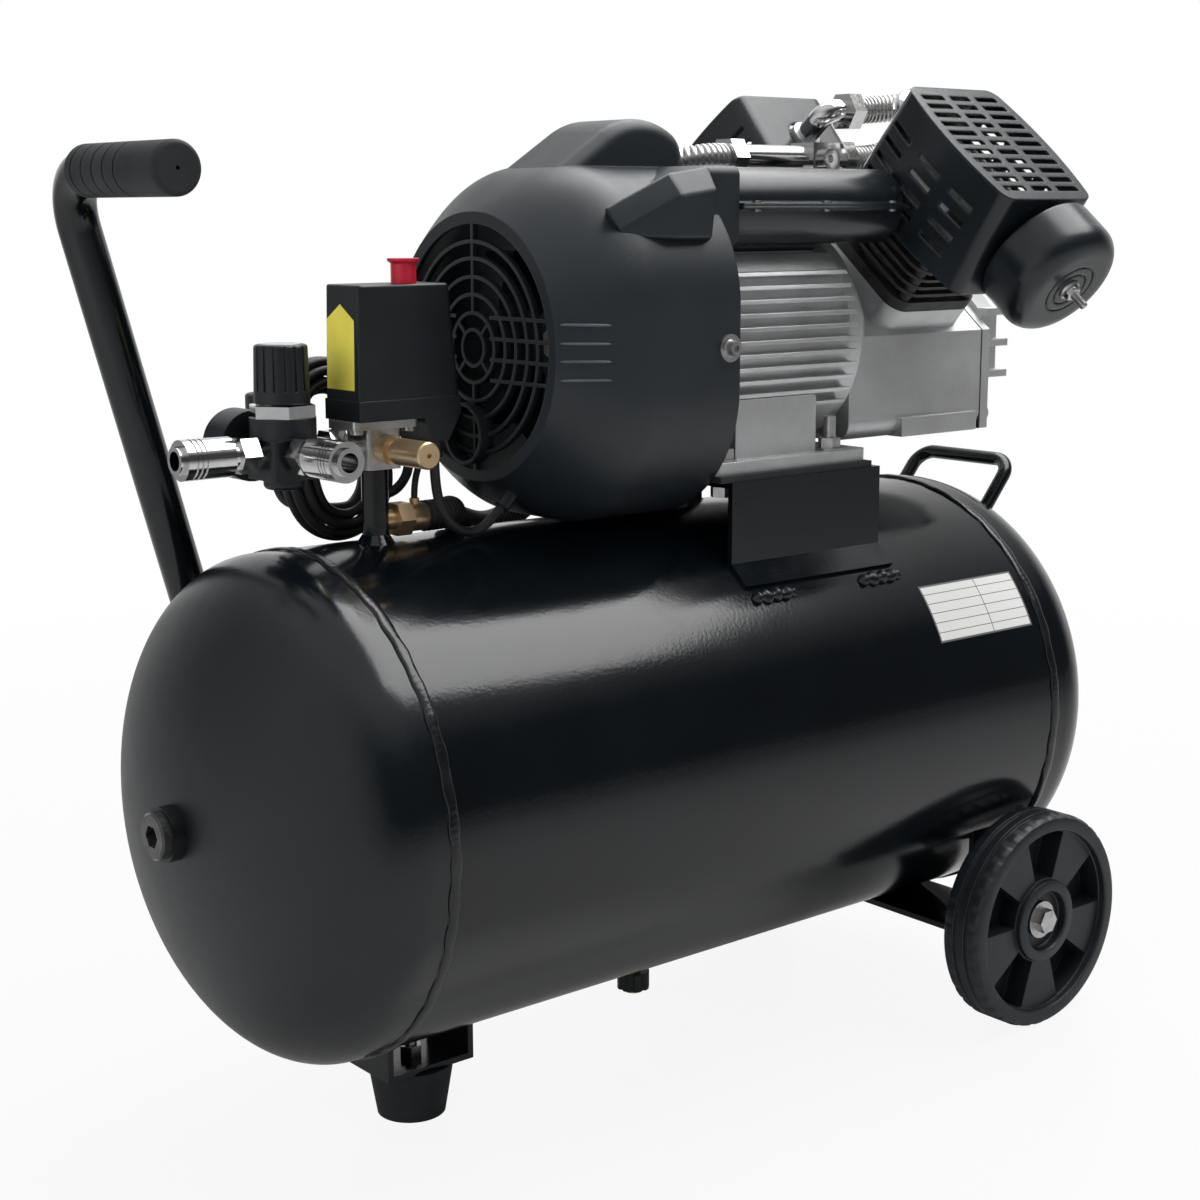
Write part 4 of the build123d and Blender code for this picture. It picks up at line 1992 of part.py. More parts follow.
# Mains plug: moulded on the cord's end and tucked behind the hank, its pins up.
plug_y = hank_y + (hank_section + plug_od) / 2 + hank_gap
plug_body_z = plug_z + plug_neck
plug_face_z = plug_body_z + plug_shoulder + plug_length
with BuildPart() as mains_plug:
    with BuildSketch(Plane.XY.offset(plug_z)):
        with Locations((plug_x, plug_y)):
            Circle(plug_neck_od / 2)
    extrude(amount=plug_neck)
    with BuildSketch(Plane.XY.offset(plug_body_z)):
        with Locations((plug_x, plug_y)):
            Circle(plug_neck_od / 2)
    with BuildSketch(Plane.XY.offset(plug_body_z + plug_shoulder)):
        with Locations((plug_x, plug_y)):
            Circle(plug_od / 2)
    loft()
    with BuildSketch(Plane.XY.offset(plug_body_z + plug_shoulder)):
        with Locations((plug_x, plug_y)):
            Circle(plug_od / 2)
    extrude(amount=plug_length)
    fillet(mains_plug.faces().sort_by(Axis.Z)[-1].edges(), 2)
    with BuildSketch(Plane.XY.offset(plug_face_z)):
        with Locations((plug_x, plug_y)):
            with GridLocations(plug_pin, 1, 2, 1):
                Circle(plug_pin_od / 2)
    extrude(amount=plug_pin)
mains_plug.part.label = "mains_plug"
export_step(mains_plug.part, "parts/mains_plug.step")

# Motor lead: from the switch's pocket down to the tank and up into the cowl's grommet.
lead_points = (
    (lead_x, lead_y, switch_pocket_z - lead_gland),
    (lead_x, lead_y, 398),
    (-160, grommet_y, 381),
    (-147.1, grommet_y, 367.5),
    (grommet_x - 12.7, grommet_y, grommet_z - 12.7),
    (grommet_x, grommet_y, grommet_z),
)
with BuildPart() as motor_lead:
    add(tube(lead_points, lead_od, 0))
motor_lead.part.label = "motor_lead"
export_step(motor_lead.part, "parts/motor_lead.step")

# Unloader tube: from the switch's nipple to the one on the check valve.
unloader_points = (
    (unloader_x, unloader_y, switch_pocket_z - unloader_nipple),
    (unloader_x, unloader_y, 411),
    ((check_body_x0 + check_x1) / 2, 0, 398),
    ((check_body_x0 + check_x1) / 2, 0, check_z + check_od / 2 + unloader_nipple),
)
with BuildPart() as unloader_tube:
    add(tube(unloader_points, unloader_od, 0))
unloader_tube.part.label = "unloader_tube"
export_step(unloader_tube.part, "parts/unloader_tube.step")
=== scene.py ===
import math
import bmesh
import bpy
import numpy as np
from mathutils import Matrix, Vector


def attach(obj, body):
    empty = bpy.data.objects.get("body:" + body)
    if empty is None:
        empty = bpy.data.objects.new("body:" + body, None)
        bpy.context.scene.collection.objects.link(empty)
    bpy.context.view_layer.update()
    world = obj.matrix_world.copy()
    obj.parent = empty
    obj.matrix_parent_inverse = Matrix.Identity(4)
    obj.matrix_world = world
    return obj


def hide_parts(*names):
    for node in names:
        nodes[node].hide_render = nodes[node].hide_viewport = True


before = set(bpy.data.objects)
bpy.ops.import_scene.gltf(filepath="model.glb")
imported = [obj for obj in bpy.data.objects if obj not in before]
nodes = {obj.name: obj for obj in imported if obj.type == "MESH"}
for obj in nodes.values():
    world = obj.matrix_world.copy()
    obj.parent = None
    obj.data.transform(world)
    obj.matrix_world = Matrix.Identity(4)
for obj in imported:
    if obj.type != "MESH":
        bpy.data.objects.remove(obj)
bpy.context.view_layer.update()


# Air tank: a rolled steel tube with two pressed heads, welded round both seams and sprayed gloss black.
# The handles, the motor's saddle, the brackets and the riser are welded on and share the paint.
class Wire:
    """A socket in a material's node tree; sums and products of wires add Math nodes."""

    def __init__(self, tree, socket):
        self.tree = tree
        self.socket = socket

    def add(self, kind, inputs=(), out=0, **settings):
        """A new node of that kind: its settings first, then values or wires on its inputs."""
        made = self.tree.nodes.new(kind)
        for name, value in settings.items():
            setattr(made, name, value)
        for name, value in dict(inputs).items():
            if isinstance(value, Wire):
                self.tree.links.new(value.socket, made.inputs[name])
            else:
                made.inputs[name].default_value = value
        return Wire(self.tree, made.outputs[out])

    def math(self, operation, *values):
        return self.add("ShaderNodeMath", dict(enumerate(values)), operation=operation)

    def __add__(self, other):
        return self.math("ADD", self, other)

    def __radd__(self, other):
        return self.math("ADD", other, self)

    def __sub__(self, other):
        return self.math("SUBTRACT", self, other)

    def __rsub__(self, other):
        return self.math("SUBTRACT", other, self)

    def __mul__(self, other):
        return self.math("MULTIPLY", self, other)

    def __rmul__(self, other):
        return self.math("MULTIPLY", other, self)

    def __gt__(self, other):
        return self.math("GREATER_THAN", self, other)

    def __abs__(self):
        return self.math("ABSOLUTE", self)

    def fraction(self):
        return self.math("FRACT", self)

    def between(self, low, high):
        """0 below low, 1 above high, and a straight ramp from one to the other."""
        return self.add("ShaderNodeMapRange", {"Value": self, "From Min": low, "From Max": high})

    def blend(self, first, second):
        """A colour between two, by this wire."""
        return self.add("ShaderNodeMix", {0: self, 6: first, 7: second}, out=2, data_type="RGBA")

    def noise(self, scale, detail=2.0):
        return self.add("ShaderNodeTexNoise", {"Vector": self, "Scale": scale, "Detail": detail})

    def axes(self):
        """The three parts of a vector."""
        parts = self.add("ShaderNodeSeparateXYZ", {0: self}).socket.node.outputs
        return [Wire(self.tree, part) for part in parts]

    def into(self, shader, name):
        self.tree.links.new(self.socket, shader.inputs[name])


def grey(level, warm=0.0):
    """A neutral colour, a little warmer or cooler."""
    return (level * (1 + warm), level, level * (1 - warm), 1.0)


def new_finish(name):
    """An empty material: the material, its Principled shader and the piece's own coordinates."""
    material = bpy.data.materials.new(name)
    material.use_nodes = True
    tree = material.node_tree
    place = Wire(tree, tree.nodes.new("ShaderNodeTexCoord").outputs["Object"])
    return material, tree.nodes["Principled BSDF"], place


cloud_low, cloud_high = 0.35, 0.7
rub_low, rub_high = 0.01, 0.22
coat_roughness = 0.04


def finish(name, colour, worn, patch, rough, grain, relief, metal=0.0, edge=0.0, edge_colour=None, coat=0.0):
    """A made surface. Clouds of the size 1/patch drift from colour to worn and from rough[0] to rough[1];
    a grain of the size 1/grain stands relief high; edges are eased by edge and rub through to edge_colour."""
    material, shader, place = new_finish(name)
    cloud = place.noise(patch, 5.0).between(cloud_low, cloud_high)
    tint = cloud.blend(colour, worn)
    height = {"Height": place.noise(grain, 3.0), "Distance": relief, "Strength": 1.0}
    if edge:
        eased = place.add("ShaderNodeBevel", {"Radius": edge}, samples=4)
        height["Normal"] = eased
        if edge_colour:
            flat = place.add("ShaderNodeNewGeometry", out=1)
            lean = place.add("ShaderNodeVectorMath", {0: eased, 1: flat}, out=1, operation="DOT_PRODUCT")
            rub = (1 - lean).between(rub_low, rub_high)
            rub = rub * place.noise(9 * patch, 4.0).between(0.38, 0.62)
            tint = rub.blend(tint, edge_colour)
    tint.into(shader, "Base Color")
    (rough[0] + (rough[1] - rough[0]) * place.noise(3.1 * patch, 3.0)).into(shader, "Roughness")
    place.add("ShaderNodeBump", height).into(shader, "Normal")
    shader.inputs["Metallic"].default_value = metal
    shader.inputs["Coat Weight"].default_value = coat
    shader.inputs["Coat Roughness"].default_value = coat_roughness
    return material


def dress(material, *names):
    """Gives CAD nodes that material."""
    for name in names:
        mesh = nodes[name].data
        mesh.materials.clear()
        mesh.materials.append(material)


def skin(name, points, material, body, around=False, along=False, capped=False):
    """A mesh piece on a grid of points, rows by columns, closed round its columns or rows where asked."""
    rows, columns = points.shape[:2]
    index = np.arange(rows * columns).reshape(rows, columns)
    if around:
        index = np.hstack([index, index[:, :1]])
    if along:
        index = np.vstack([index, index[:1]])
    corners = np.stack([index[:-1, :-1], index[:-1, 1:], index[1:, 1:], index[1:, :-1]], -1)
    faces = corners.reshape(-1, 4).tolist()
    if capped:
        faces += [index[0, :columns][::-1].tolist(), index[-1, :columns].tolist()]
    mesh = bpy.data.meshes.new(name)
    mesh.from_pydata(points.reshape(-1, 3).tolist(), [], faces)
    shell = bmesh.new()
    shell.from_mesh(mesh)
    if capped or along:
        bmesh.ops.recalc_face_normals(shell, faces=shell.faces)
    shell.to_mesh(mesh)
    shell.free()
    mesh.polygons.foreach_set("use_smooth", np.ones(len(mesh.polygons), bool))
    mesh.materials.append(material)
    piece = bpy.data.objects.new(name, mesh)
    bpy.context.scene.collection.objects.link(piece)
    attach(piece, body)
    return piece


tank_radius = 0.151
tank_axis_z = 0.2135
paint_patch, paint_grain, paint_relief = 14.0, 420.0, 0.00006
gloss_black = finish(
    "gloss_black", grey(0.003, -0.4), grey(0.005, -0.35), paint_patch, (0.1, 0.18), paint_grain, paint_relief,
)
dress(
    gloss_black, "tank_shell", "tank_head_right", "motor_saddle", "foot_bracket", "axle_bracket",
    "push_handle", "carry_handle", "riser_pipe",
)
welded_black = finish(
    "welded_black", grey(0.005, -0.2), grey(0.014, -0.1), 90.0, (0.12, 0.26), 900.0, 0.00012,
)
crown_dull_x, crown_gloss_x = -0.302, -0.276
crown_black, crown_shader, crown_place = new_finish("crown_black")
crown_x, _, _ = crown_place.axes()
crown_dull = 1 - crown_x.between(crown_dull_x, crown_gloss_x)
crown_cloud = crown_place.noise(paint_patch, 5.0).between(cloud_low, cloud_high)
crown_cloud.blend(grey(0.004, -0.4), grey(0.0065, -0.35)).into(crown_shader, "Base Color")
(0.14 + 0.26 * crown_dull + 0.06 * crown_place.noise(43.0)).into(crown_shader, "Roughness")
crown_grain = crown_place.noise(paint_grain, 3.0)
crown_place.add(
    "ShaderNodeBump", {"Height": crown_grain, "Distance": paint_relief, "Strength": 1.0}
).into(crown_shader, "Normal")
dress(crown_black, "tank_head_left")
seam_left_x, seam_right_x = -0.247, 0.262
seam_half, seam_rise, seam_sunk = 0.0037, 0.0012, 0.0004


def seam_bead(name, x):
    """A weld round the tank: a flat dome across, carried round the axis, with ripples and slow wander."""
    turn = np.linspace(0, 2 * np.pi, 900, endpoint=False)[:, None]
    across = np.linspace(-1, 1, 13)[None, :]
    ripple = 0.0001 * np.abs(np.sin(118 * turn + 1.4 * across**2)) + 0.00012 * np.sin(17 * turn + 1.0)
    lumps = 0.0004 * np.clip(np.sin(29 * turn) * np.sin(11 * turn + 0.7) - 0.55, 0, 1)
    wander = 0.0003 * np.sin(31 * turn) + 0.0003 * np.sin(13 * turn + 2.0)
    top = seam_sunk + (seam_rise + ripple + lumps) * np.sqrt(np.clip(1 - across**2, 0, 1))
    rise = np.where(np.abs(across) == 1, -seam_sunk, top)
    half = seam_half + 0.0004 * np.sin(47 * turn)
    radius = tank_radius + rise
    place = x + half * across + wander
    rim = np.stack([place + 0 * radius, radius * np.sin(turn), tank_axis_z + radius * np.cos(turn)], -1)
    skin(name, rim, welded_black, "chassis", around=True, along=True)


seam_bead("seam_bead_left", seam_left_x)
seam_bead("seam_bead_right", seam_right_x)


def fillet_weld(name, start, end, width):
    """A short lumpy bead between two points: circles of a wandering radius carried along the line."""
    share = np.linspace(0, 1, 60)[:, None]
    turn = np.linspace(0, 2 * np.pi, 14, endpoint=False)[None, :]
    swell = np.sqrt(np.clip(1 - (2 * share - 1) ** 8, 0.02, 1))
    beads = 0.45 * np.abs(np.sin(4.5 * np.pi * share)) ** 1.5
    radius = width * swell * (0.75 + beads + 0.1 * np.sin(turn * 2 + 19 * share))
    line = (1 - share) * np.array(start) + share * np.array(end)
    ring = np.stack([0 * turn * radius, radius * np.cos(turn), radius * np.sin(turn)], -1)
    skin(name, line[:, None, :] + ring, welded_black, "chassis", around=True, capped=True)


saddle_y = 0.1075
saddle_foot_z = tank_axis_z + math.sqrt(tank_radius**2 - saddle_y**2) + 0.0006
saddle_bead = 0.0042
saddle_spans = {"left": (0.012, 0.05), "right": (0.108, 0.147)}
for label, side in (("front", -1), ("back", 1)):
    for end, (x0, x1) in saddle_spans.items():
        fillet_weld(
            f"saddle_weld_{label}_{end}",
            (x0, side * saddle_y, saddle_foot_z), (x1, side * saddle_y, saddle_foot_z), saddle_bead,
        )

# Rating plate: a printed foil sticker rolled on to the tank's near side.
# It is blank here, with the ruled table of such plates and nothing written in it.
foil, foil_shader, foil_place = new_finish("rating_foil")
foil_u, foil_v, _ = foil_place.add("ShaderNodeUVMap", uv_map="plate").axes()
row_line = abs((foil_v * 6.0).fraction() - 0.5) > 0.462
column_line = (0.004 - abs(foil_u - 0.58)) > 0.0
rim_line = (abs(foil_u - 0.5) > 0.485) + (abs(foil_v - 0.5) > 0.468)
ruled = (row_line + column_line + rim_line).between(0.0, 1.0)
ruled.blend(grey(0.72, 0.01), grey(0.12)).into(foil_shader, "Base Color")
(0.3 + 0.15 * foil_place.noise(60.0)).into(foil_shader, "Roughness")
plate_columns, plate_rows = 25, 13
plate_left, plate_right = 0.157, 0.251
plate_high, plate_low = 49.6, 65.2
plate_proud = 0.00025
plate_x = np.linspace(plate_left, plate_right, plate_columns)[None, :]
plate_turn = np.radians(np.linspace(plate_high, plate_low, plate_rows))[:, None]
plate_radius = tank_radius + plate_proud
plate = skin(
    "rating_plate",
    np.stack(
        np.broadcast_arrays(
            plate_x, -plate_radius * np.sin(plate_turn), tank_axis_z + plate_radius * np.cos(plate_turn)
        ), -1,
    ),
    foil, "chassis",
)
plate_uv = plate.data.uv_layers.new(name="plate")
plate_corner = np.zeros(len(plate.data.loops), np.int32)
plate.data.loops.foreach_get("vertex_index", plate_corner)
plate_u = (plate_corner % plate_columns) / (plate_columns - 1)
plate_v = (plate_corner // plate_columns) / (plate_rows - 1)
plate_spots = np.stack([plate_u, plate_v], -1)
plate_uv.data.foreach_set("uv", plate_spots.astype(np.float32).ravel())

# Foot and wheels: a rubber buffer under the left end, and two moulded wheels on bolts at the right.
# The wheels are one hard plastic casting each, with a notched tread and five sunk pockets.
rubber = finish("moulded_rubber", grey(0.01, -0.2), grey(0.018, -0.1), 35.0, (0.55, 0.75), 1500.0, 0.0001)
dress(rubber, "rubber_foot", "motor_pads", "handle_grip", "cover_gasket")
wheel_plastic = finish(
    "wheel_plastic", grey(0.0085, -0.28), grey(0.013, -0.24), 40.0, (0.34, 0.5), 1300.0, 0.00008,
    edge=0.0009, edge_colour=grey(0.06),
)
wheel_rings = np.array([
    (6.3, 8.0), (19.8, 8.0), (20.6, 7.2), (21.0, 2.2), (21.8, 1.2), (27.4, 1.2), (28.5, 1.8), (29.0, 5.5),
    (29.6, 5.5), (30.2, 5.5), (36, 5.5), (42, 5.5), (48, 5.5), (54, 5.5), (60, 5.5), (62.2, 5.5), (62.8, 5.5),
    (63.4, 5.3), (64.0, 1.2), (64.8, 0.4), (70, 0.1), (72.8, 0.9), (74.4, 2.8), (75, 5), (75, 9.4),
    (73.2, 10.2), (73.2, 12.2), (75, 13), (75, 18.6), (73.2, 19.4), (73.2, 21.4), (75, 22.2), (75, 27),
    (74.4, 29.2), (72.8, 31.1), (70, 31.9), (64.8, 31.7), (63.8, 26.2), (46, 26), (30, 26), (22.6, 26.4),
    (22, 31.7), (14.5, 32), (14, 32.6), (14, 39.5), (6.3, 39.5),
]) / 1000
wheel_x, wheel_z, wheel_face_y = 0.2375, 0.075, 0.172
pocket_count, pocket_half, pocket_depth = 5, math.radians(18), 0.0155
pocket_inner, pocket_outer, pocket_edge = 0.03, 0.0625, math.radians(1.0)
panel_depth_limit = 0.01
tread_blocks, tread_notch, tread_duty = 36, 0.0009, 0.35
tread_middle, tread_shoulder, tread_inner = 0.016, 0.0105, 0.0743
wheel_crease = math.radians(32)


def moulded_wheel(body, side):
    """A wheel turned about its bolt: rings of a radius and a depth, five pockets sunk between the panels,
    and notches cut round both shoulders of the tread."""
    turn = np.linspace(0, 2 * np.pi, 400, endpoint=False)[None, :]
    radius, depth = wheel_rings[:, :1], wheel_rings[:, 1:]
    half_step = np.pi / pocket_count
    off = np.abs((turn - np.pi / 2 + half_step) % (2 * half_step) - half_step)
    panel = (radius > pocket_inner) & (radius < pocket_outer) & (depth < panel_depth_limit)
    sunk = np.clip((pocket_half - off) / pocket_edge, 0, 1) * panel
    shoulder = (radius > tread_inner) & (np.abs(depth - tread_middle) > tread_shoulder)
    radius = radius - tread_notch * shoulder * (np.sin(tread_blocks * turn) > tread_duty)
    depth = depth + pocket_depth * sunk
    rim = np.stack(
        [wheel_x + radius * np.cos(turn), side * (wheel_face_y - depth), wheel_z + radius * np.sin(turn)], -1
    )
    wheel = skin(f"{body}_moulding", rim, wheel_plastic, body, around=True, along=True)
    wheel.data.set_sharp_from_angle(angle=wheel_crease)
    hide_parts(body)


moulded_wheel("wheel_near", -1)
moulded_wheel("wheel_far", 1)
zinc_plate = finish(
    "zinc_plate", grey(0.6, -0.01), grey(0.46, 0.03), 160.0, (0.22, 0.4), 1800.0, 0.00004, metal=1.0,
)
dress(
    zinc_plate, "frame_bolts", "cover_fasteners", "bearings", "crankshaft", "valve_plates",
)
plug_black = finish("plug_black", grey(0.012), grey(0.05), 220.0, (0.2, 0.42), 900.0, 0.00008, coat=0.3)
dress(plug_black, "tank_plug")

# Motor: a die-cast housing with cooling fins, its end bell and the pump's crankcase in the same alloy.
# The castings are shot-blasted and left bare, so they are a soft grey with a fine sandy skin.
cast_alloy = finish(
    "cast_alloy", grey(0.64, -0.012), grey(0.52, -0.005), 26.0, (0.36, 0.52), 1100.0, 0.00016,
    metal=0.85, edge=0.0009, edge_colour=grey(0.78),
)
dress(
    cast_alloy, "motor_housing", "end_bell", "crankcase", "crankcase_cover", "cylinder_heads",
    "conrod_near", "conrod_far", "piston_near", "piston_far", "run_capacitor",
)
core_steel = finish("core_steel", grey(0.3), grey(0.22, 0.04), 120.0, (0.35, 0.5), 2500.0, 0.00005, metal=1.0)
dress(core_steel, "stator")

# Fan cowl: a moulded plastic hood over the motor's fan, with a round grille in its end and a scoop over the
# capacitor's leads.
# Four fine ribs run back from the grille, drawn lighter than the cowl as a painted highlight, and the skin
# has a fine spark-eroded grain.
cowl_plastic = finish(
    "cowl_plastic", grey(0.013, -0.27), grey(0.018, -0.24), 18.0, (0.38, 0.5), 1600.0, 0.00009,
    edge=0.0012, edge_colour=grey(0.03, -0.12),
)
dress(cowl_plastic, "fan_cowl", "cooling_fan")
eye = Vector((-0.8478, -0.9971, 0.5579))
scoop_depth = np.array([0.055, 0.055, 0.03])
scoop_inward = np.array([0.63, 0.75, -0.19])
scoop_rounding, scoop_crease = 0.003, math.radians(14)
scoop_edges = np.array([
    [(-0.0909, -0.088, 0.5589), (-0.0796, -0.088, 0.5453), (-0.079, -0.088, 0.5425)],
    [(-0.0428, -0.0898, 0.5794), (-0.0426, -0.1029, 0.5663), (-0.046, -0.1005, 0.5415)],
    [(-0.0079, -0.0856, 0.5836), (-0.0123, -0.0993, 0.5699), (-0.0174, -0.1, 0.5414)],
])


def scoop_hood(name):
    """The scoop's outer hood: three sections of a top, a brow and a foot, each carried back into the cowl."""
    depth = scoop_depth[:, None, None] * scoop_inward
    sections = np.concatenate([scoop_edges[:, :1] + depth, scoop_edges, scoop_edges[:, 2:] + depth], 1)
    hood = skin(name, sections, cowl_plastic, "chassis", around=True, capped=True)
    rounding = hood.modifiers.new("rounding", "BEVEL")
    rounding.width, rounding.segments, rounding.limit_method = scoop_rounding, 3, "ANGLE"
    rounding.angle_limit = scoop_crease
    hood.modifiers.new("flats", "WEIGHTED_NORMAL")


scoop_hood("cowl_scoop_hood")
# Painted highlight: the ribs are moulded in the cowl's own plastic, and their lighter grey stands in for the
# glints along them.
rib_painted_highlight = finish("rib_painted_highlight", grey(0.07, -0.2), grey(0.1, -0.18), 60.0, (0.26, 0.36), 1600.0, 0.00004)
rib_half, rib_stations, rib_backed = 0.0009, 24, 0.06


def cowl_rib(name, near, far):
    """A low ridge on the cowl: a round wire, half sunk, carried over the points that a line casts on it."""
    spots = []
    for step in np.linspace(0, 1, rib_stations):
        aim = Vector(near).lerp(Vector(far), step)
        sight = (aim - eye).normalized()
        found, spot, normal, _ = nodes["fan_cowl"].ray_cast(aim - rib_backed * sight, sight)
        if found:
            spots.append((*spot, *normal))
    spots = np.array(spots)
    line = spots[:, None, :3]
    normal = spots[:, None, 3:]
    turn = np.linspace(0, 2 * np.pi, 10, endpoint=False)[None, :, None]
    up = np.array([0.0, 0.0, 1.0])
    taper = np.sqrt(np.clip(1 - np.linspace(-1, 1, len(spots)) ** 6, 0.05, 1))[:, None, None]
    ring = rib_half * taper * np.cos(turn) * up + rib_half * taper * np.sin(turn) * normal
    skin(name, line + ring, rib_painted_highlight, "chassis", around=True, capped=True)


rib_heights = (0.4944, 0.4838, 0.4737, 0.463)
for number, z in enumerate(rib_heights):
    cowl_rib(f"cowl_rib_{number + 1}", (-0.134, -0.101, z), (-0.0984, -0.104, z - 0.0015))

# Pump covers: pressed sheet guards over the heads, the capacitor's case and the filters' cans, all coated in
# satin black. The cylinders are finned iron castings, dull from heat, and a stud and nut close each filter.
satin_black = finish(
    "satin_black", grey(0.009, -0.28), grey(0.013, -0.25), 30.0, (0.2, 0.3), 1400.0, 0.00005,
    edge=0.0025, edge_colour=grey(0.03, -0.1),
)
dress(satin_black, "head_guards", "capacitor_cover_upper", "capacitor_cover_lower", "intake_filters")
dark_iron = finish("dark_iron", grey(0.02), grey(0.05, 0.04), 60.0, (0.45, 0.65), 700.0, 0.0002, metal=0.3)
dress(dark_iron, "cylinders", "head_bolts")
bank = math.radians(40)
shaft_z = 0.476
filter_up, filter_out = 0.133, 0.111
thread_count, thread_steps = 11, 44
thread_radius, thread_depth = 0.00262, 0.0002


def filter_stud(name, x, side):
    """The threaded stud, washer and nut on a filter's face: a profile turned about the filter's axis, with
    six flats round the nut's rows."""
    out = np.array([0.0, side * math.cos(bank), -math.sin(bank)])
    up = np.array([0.0, side * math.sin(bank), math.cos(bank)])
    face = np.array([x, 0.0, shaft_z]) + filter_up * up + filter_out * out
    tip = np.linspace(0.0055, 0.0162, thread_steps)
    reach = np.array([-0.0005, 0.001, 0.001, 0.0012, 0.005, 0.0053, 0.0053, *tip])
    thread = thread_radius + thread_depth * np.sin(2 * np.pi * np.linspace(0, thread_count, thread_steps))
    wide = np.array([0.0074, 0.0074, 0.0056, 0.0056, 0.0056, 0.005, 0.0027, *thread])
    turn = np.linspace(0, 2 * np.pi, 24, endpoint=False)[None, :]
    flat = np.cos(np.pi / 6) / np.cos((turn % (np.pi / 3)) - np.pi / 6)
    row = np.arange(len(reach))
    hexed = ((row > 1) & (row < 6))[:, None]
    radius = wide[:, None] * np.where(hexed, flat, 1.0)
    around_axis = np.cos(turn)[..., None] * np.array([1.0, 0, 0]) + np.sin(turn)[..., None] * up
    rings = face + reach[:, None, None] * out + radius[..., None] * around_axis
    skin(name, rings, zinc_plate, "chassis", around=True, capped=True)


filter_stud("filter_stud_near", 0.233, -1)
filter_stud("filter_stud_far", 0.199, 1)

# Air pipes: chromed steel elbows, nuts and line, with corrugated metal hose between them.
# The long hose down the back is the same steel hose. Its lower length, near the tank, is painted dark and
# matt as painted shade and painted reflection of the black tank.
chrome = finish("chrome", grey(0.72), grey(0.62, 0.01), 120.0, (0.06, 0.16), 900.0, 0.00002, metal=1.0)
dress(chrome, "discharge_pipes", "chrome_fittings", "coupler_sleeve_left", "coupler_sleeve_front")
hose_steel = finish(
    "hose_steel", grey(0.55), grey(0.4, 0.02), 150.0, (0.2, 0.36), 1500.0, 0.00005, metal=1.0,
)
hose_radius, hose_groove, hose_pitch = 0.0096, 0.0013, 0.0034
long_hose_radius, long_hose_pitch = 0.0095, 0.0036
upright = (0.0, 0.0, 1.0)


def route_line(points, count):
    """Points evenly along the smooth spline that has the route's points as its control points."""
    data = bpy.data.curves.new("route", "CURVE")
    data.dimensions = "3D"
    data.resolution_u = 32
    spline = data.splines.new("NURBS")
    spline.points.add(len(points) - 1)
    spline.points.foreach_set("co", np.hstack([points, np.ones((len(points), 1))]).ravel())
    spline.order_u = 3
    spline.use_endpoint_u = True
    carrier = bpy.data.objects.new("route", data)
    bpy.context.scene.collection.objects.link(carrier)
    bpy.context.view_layer.update()
    mesh = bpy.data.meshes.new_from_object(carrier)
    line = np.zeros(3 * len(mesh.vertices))
    mesh.vertices.foreach_get("co", line)
    line = line.reshape(-1, 3)
    bpy.data.objects.remove(carrier)
    bpy.data.meshes.remove(mesh)
    run = np.concatenate([[0], np.cumsum(np.linalg.norm(np.diff(line, axis=0), axis=1))])
    even = np.linspace(0, run[-1], count)
    return np.stack([np.interp(even, run, line[:, axis]) for axis in range(3)], -1), run[-1]


def corrugated(name, points, radius, depth, pitch, material, across):
    """A hose with rings: a circle whose radius follows a raised cosine, carried along the route."""
    _, length = route_line(points, 2)
    count = int(length / pitch * 8)
    line, _ = route_line(points, count)
    ahead = np.gradient(line, axis=0)
    ahead /= np.linalg.norm(ahead, axis=1)[:, None]
    side = np.cross(ahead, np.array(across))
    side /= np.linalg.norm(side, axis=1)[:, None]
    rise = np.cross(ahead, side)
    turn = np.linspace(0, 2 * np.pi, 28, endpoint=False)[None, :, None]
    along = np.linspace(0, length, count)[:, None, None]
    wide = radius - depth * (0.5 + 0.5 * np.cos(2 * np.pi * along / pitch)) ** 2
    ring = wide * (np.cos(turn) * side[:, None, :] + np.sin(turn) * rise[:, None, :])
    return skin(name, line[:, None, :] + ring, material, "chassis", around=True, capped=True)


crossover_route = np.array([
    (0.239, 0.029, 0.6272), (0.258, 0.029, 0.628), (0.288, 0.0, 0.632), (0.264, -0.024, 0.632),
    (0.244, -0.0237, 0.6316),
])
corrugated(
    "crossover_hose", crossover_route, hose_radius, hose_groove, hose_pitch, hose_steel, upright,
)
near_route = np.array([
    (0.2145, 0.012, 0.592), (0.238, 0.012, 0.592), (0.247, -0.006, 0.6), (0.2445, -0.0235, 0.5985),
])
corrugated("near_hose", near_route, hose_radius, hose_groove, hose_pitch, hose_steel, upright)
discharge_route = np.array([
    (0.0962, 0.012, 0.592), (0.074, 0.012, 0.592), (0.058, 0.04, 0.584), (0.052, 0.082, 0.556),
    (0.05, 0.104, 0.516), (0.05, 0.112, 0.466), (0.046, 0.114, 0.416), (0.03, 0.115, 0.378),
    (0.0, 0.112, 0.354), (-0.04, 0.098, 0.346), (-0.084, 0.076, 0.359), (-0.112, 0.042, 0.3715),
    (-0.138, 0.0, 0.377), (-0.16, 0.0, 0.377),
])
# Painted shade and reflection: below a height, the hose's colour goes to near black and its metal is turned
# off.
hose_dark, hose_shader, hose_place = new_finish("hose_painted_shade")
_, _, hose_z = hose_place.axes()
painted_shade_low_z, painted_shade_high_z = 0.44, 0.53
painted_shade = 1 - (hose_z + 0.02 * hose_place.noise(40.0)).between(painted_shade_low_z, painted_shade_high_z)
painted_shade.blend(grey(0.5), grey(0.016)).into(hose_shader, "Base Color")
(1 - painted_shade).into(hose_shader, "Metallic")
(0.28 + 0.25 * painted_shade + 0.1 * hose_place.noise(300.0)).into(hose_shader, "Roughness")
discharge_hose = corrugated(
    "discharge_hose_rings", discharge_route, long_hose_radius, hose_groove, long_hose_pitch, hose_dark,
    (0.58, 0.58, 0.58),
)
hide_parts("discharge_hose")

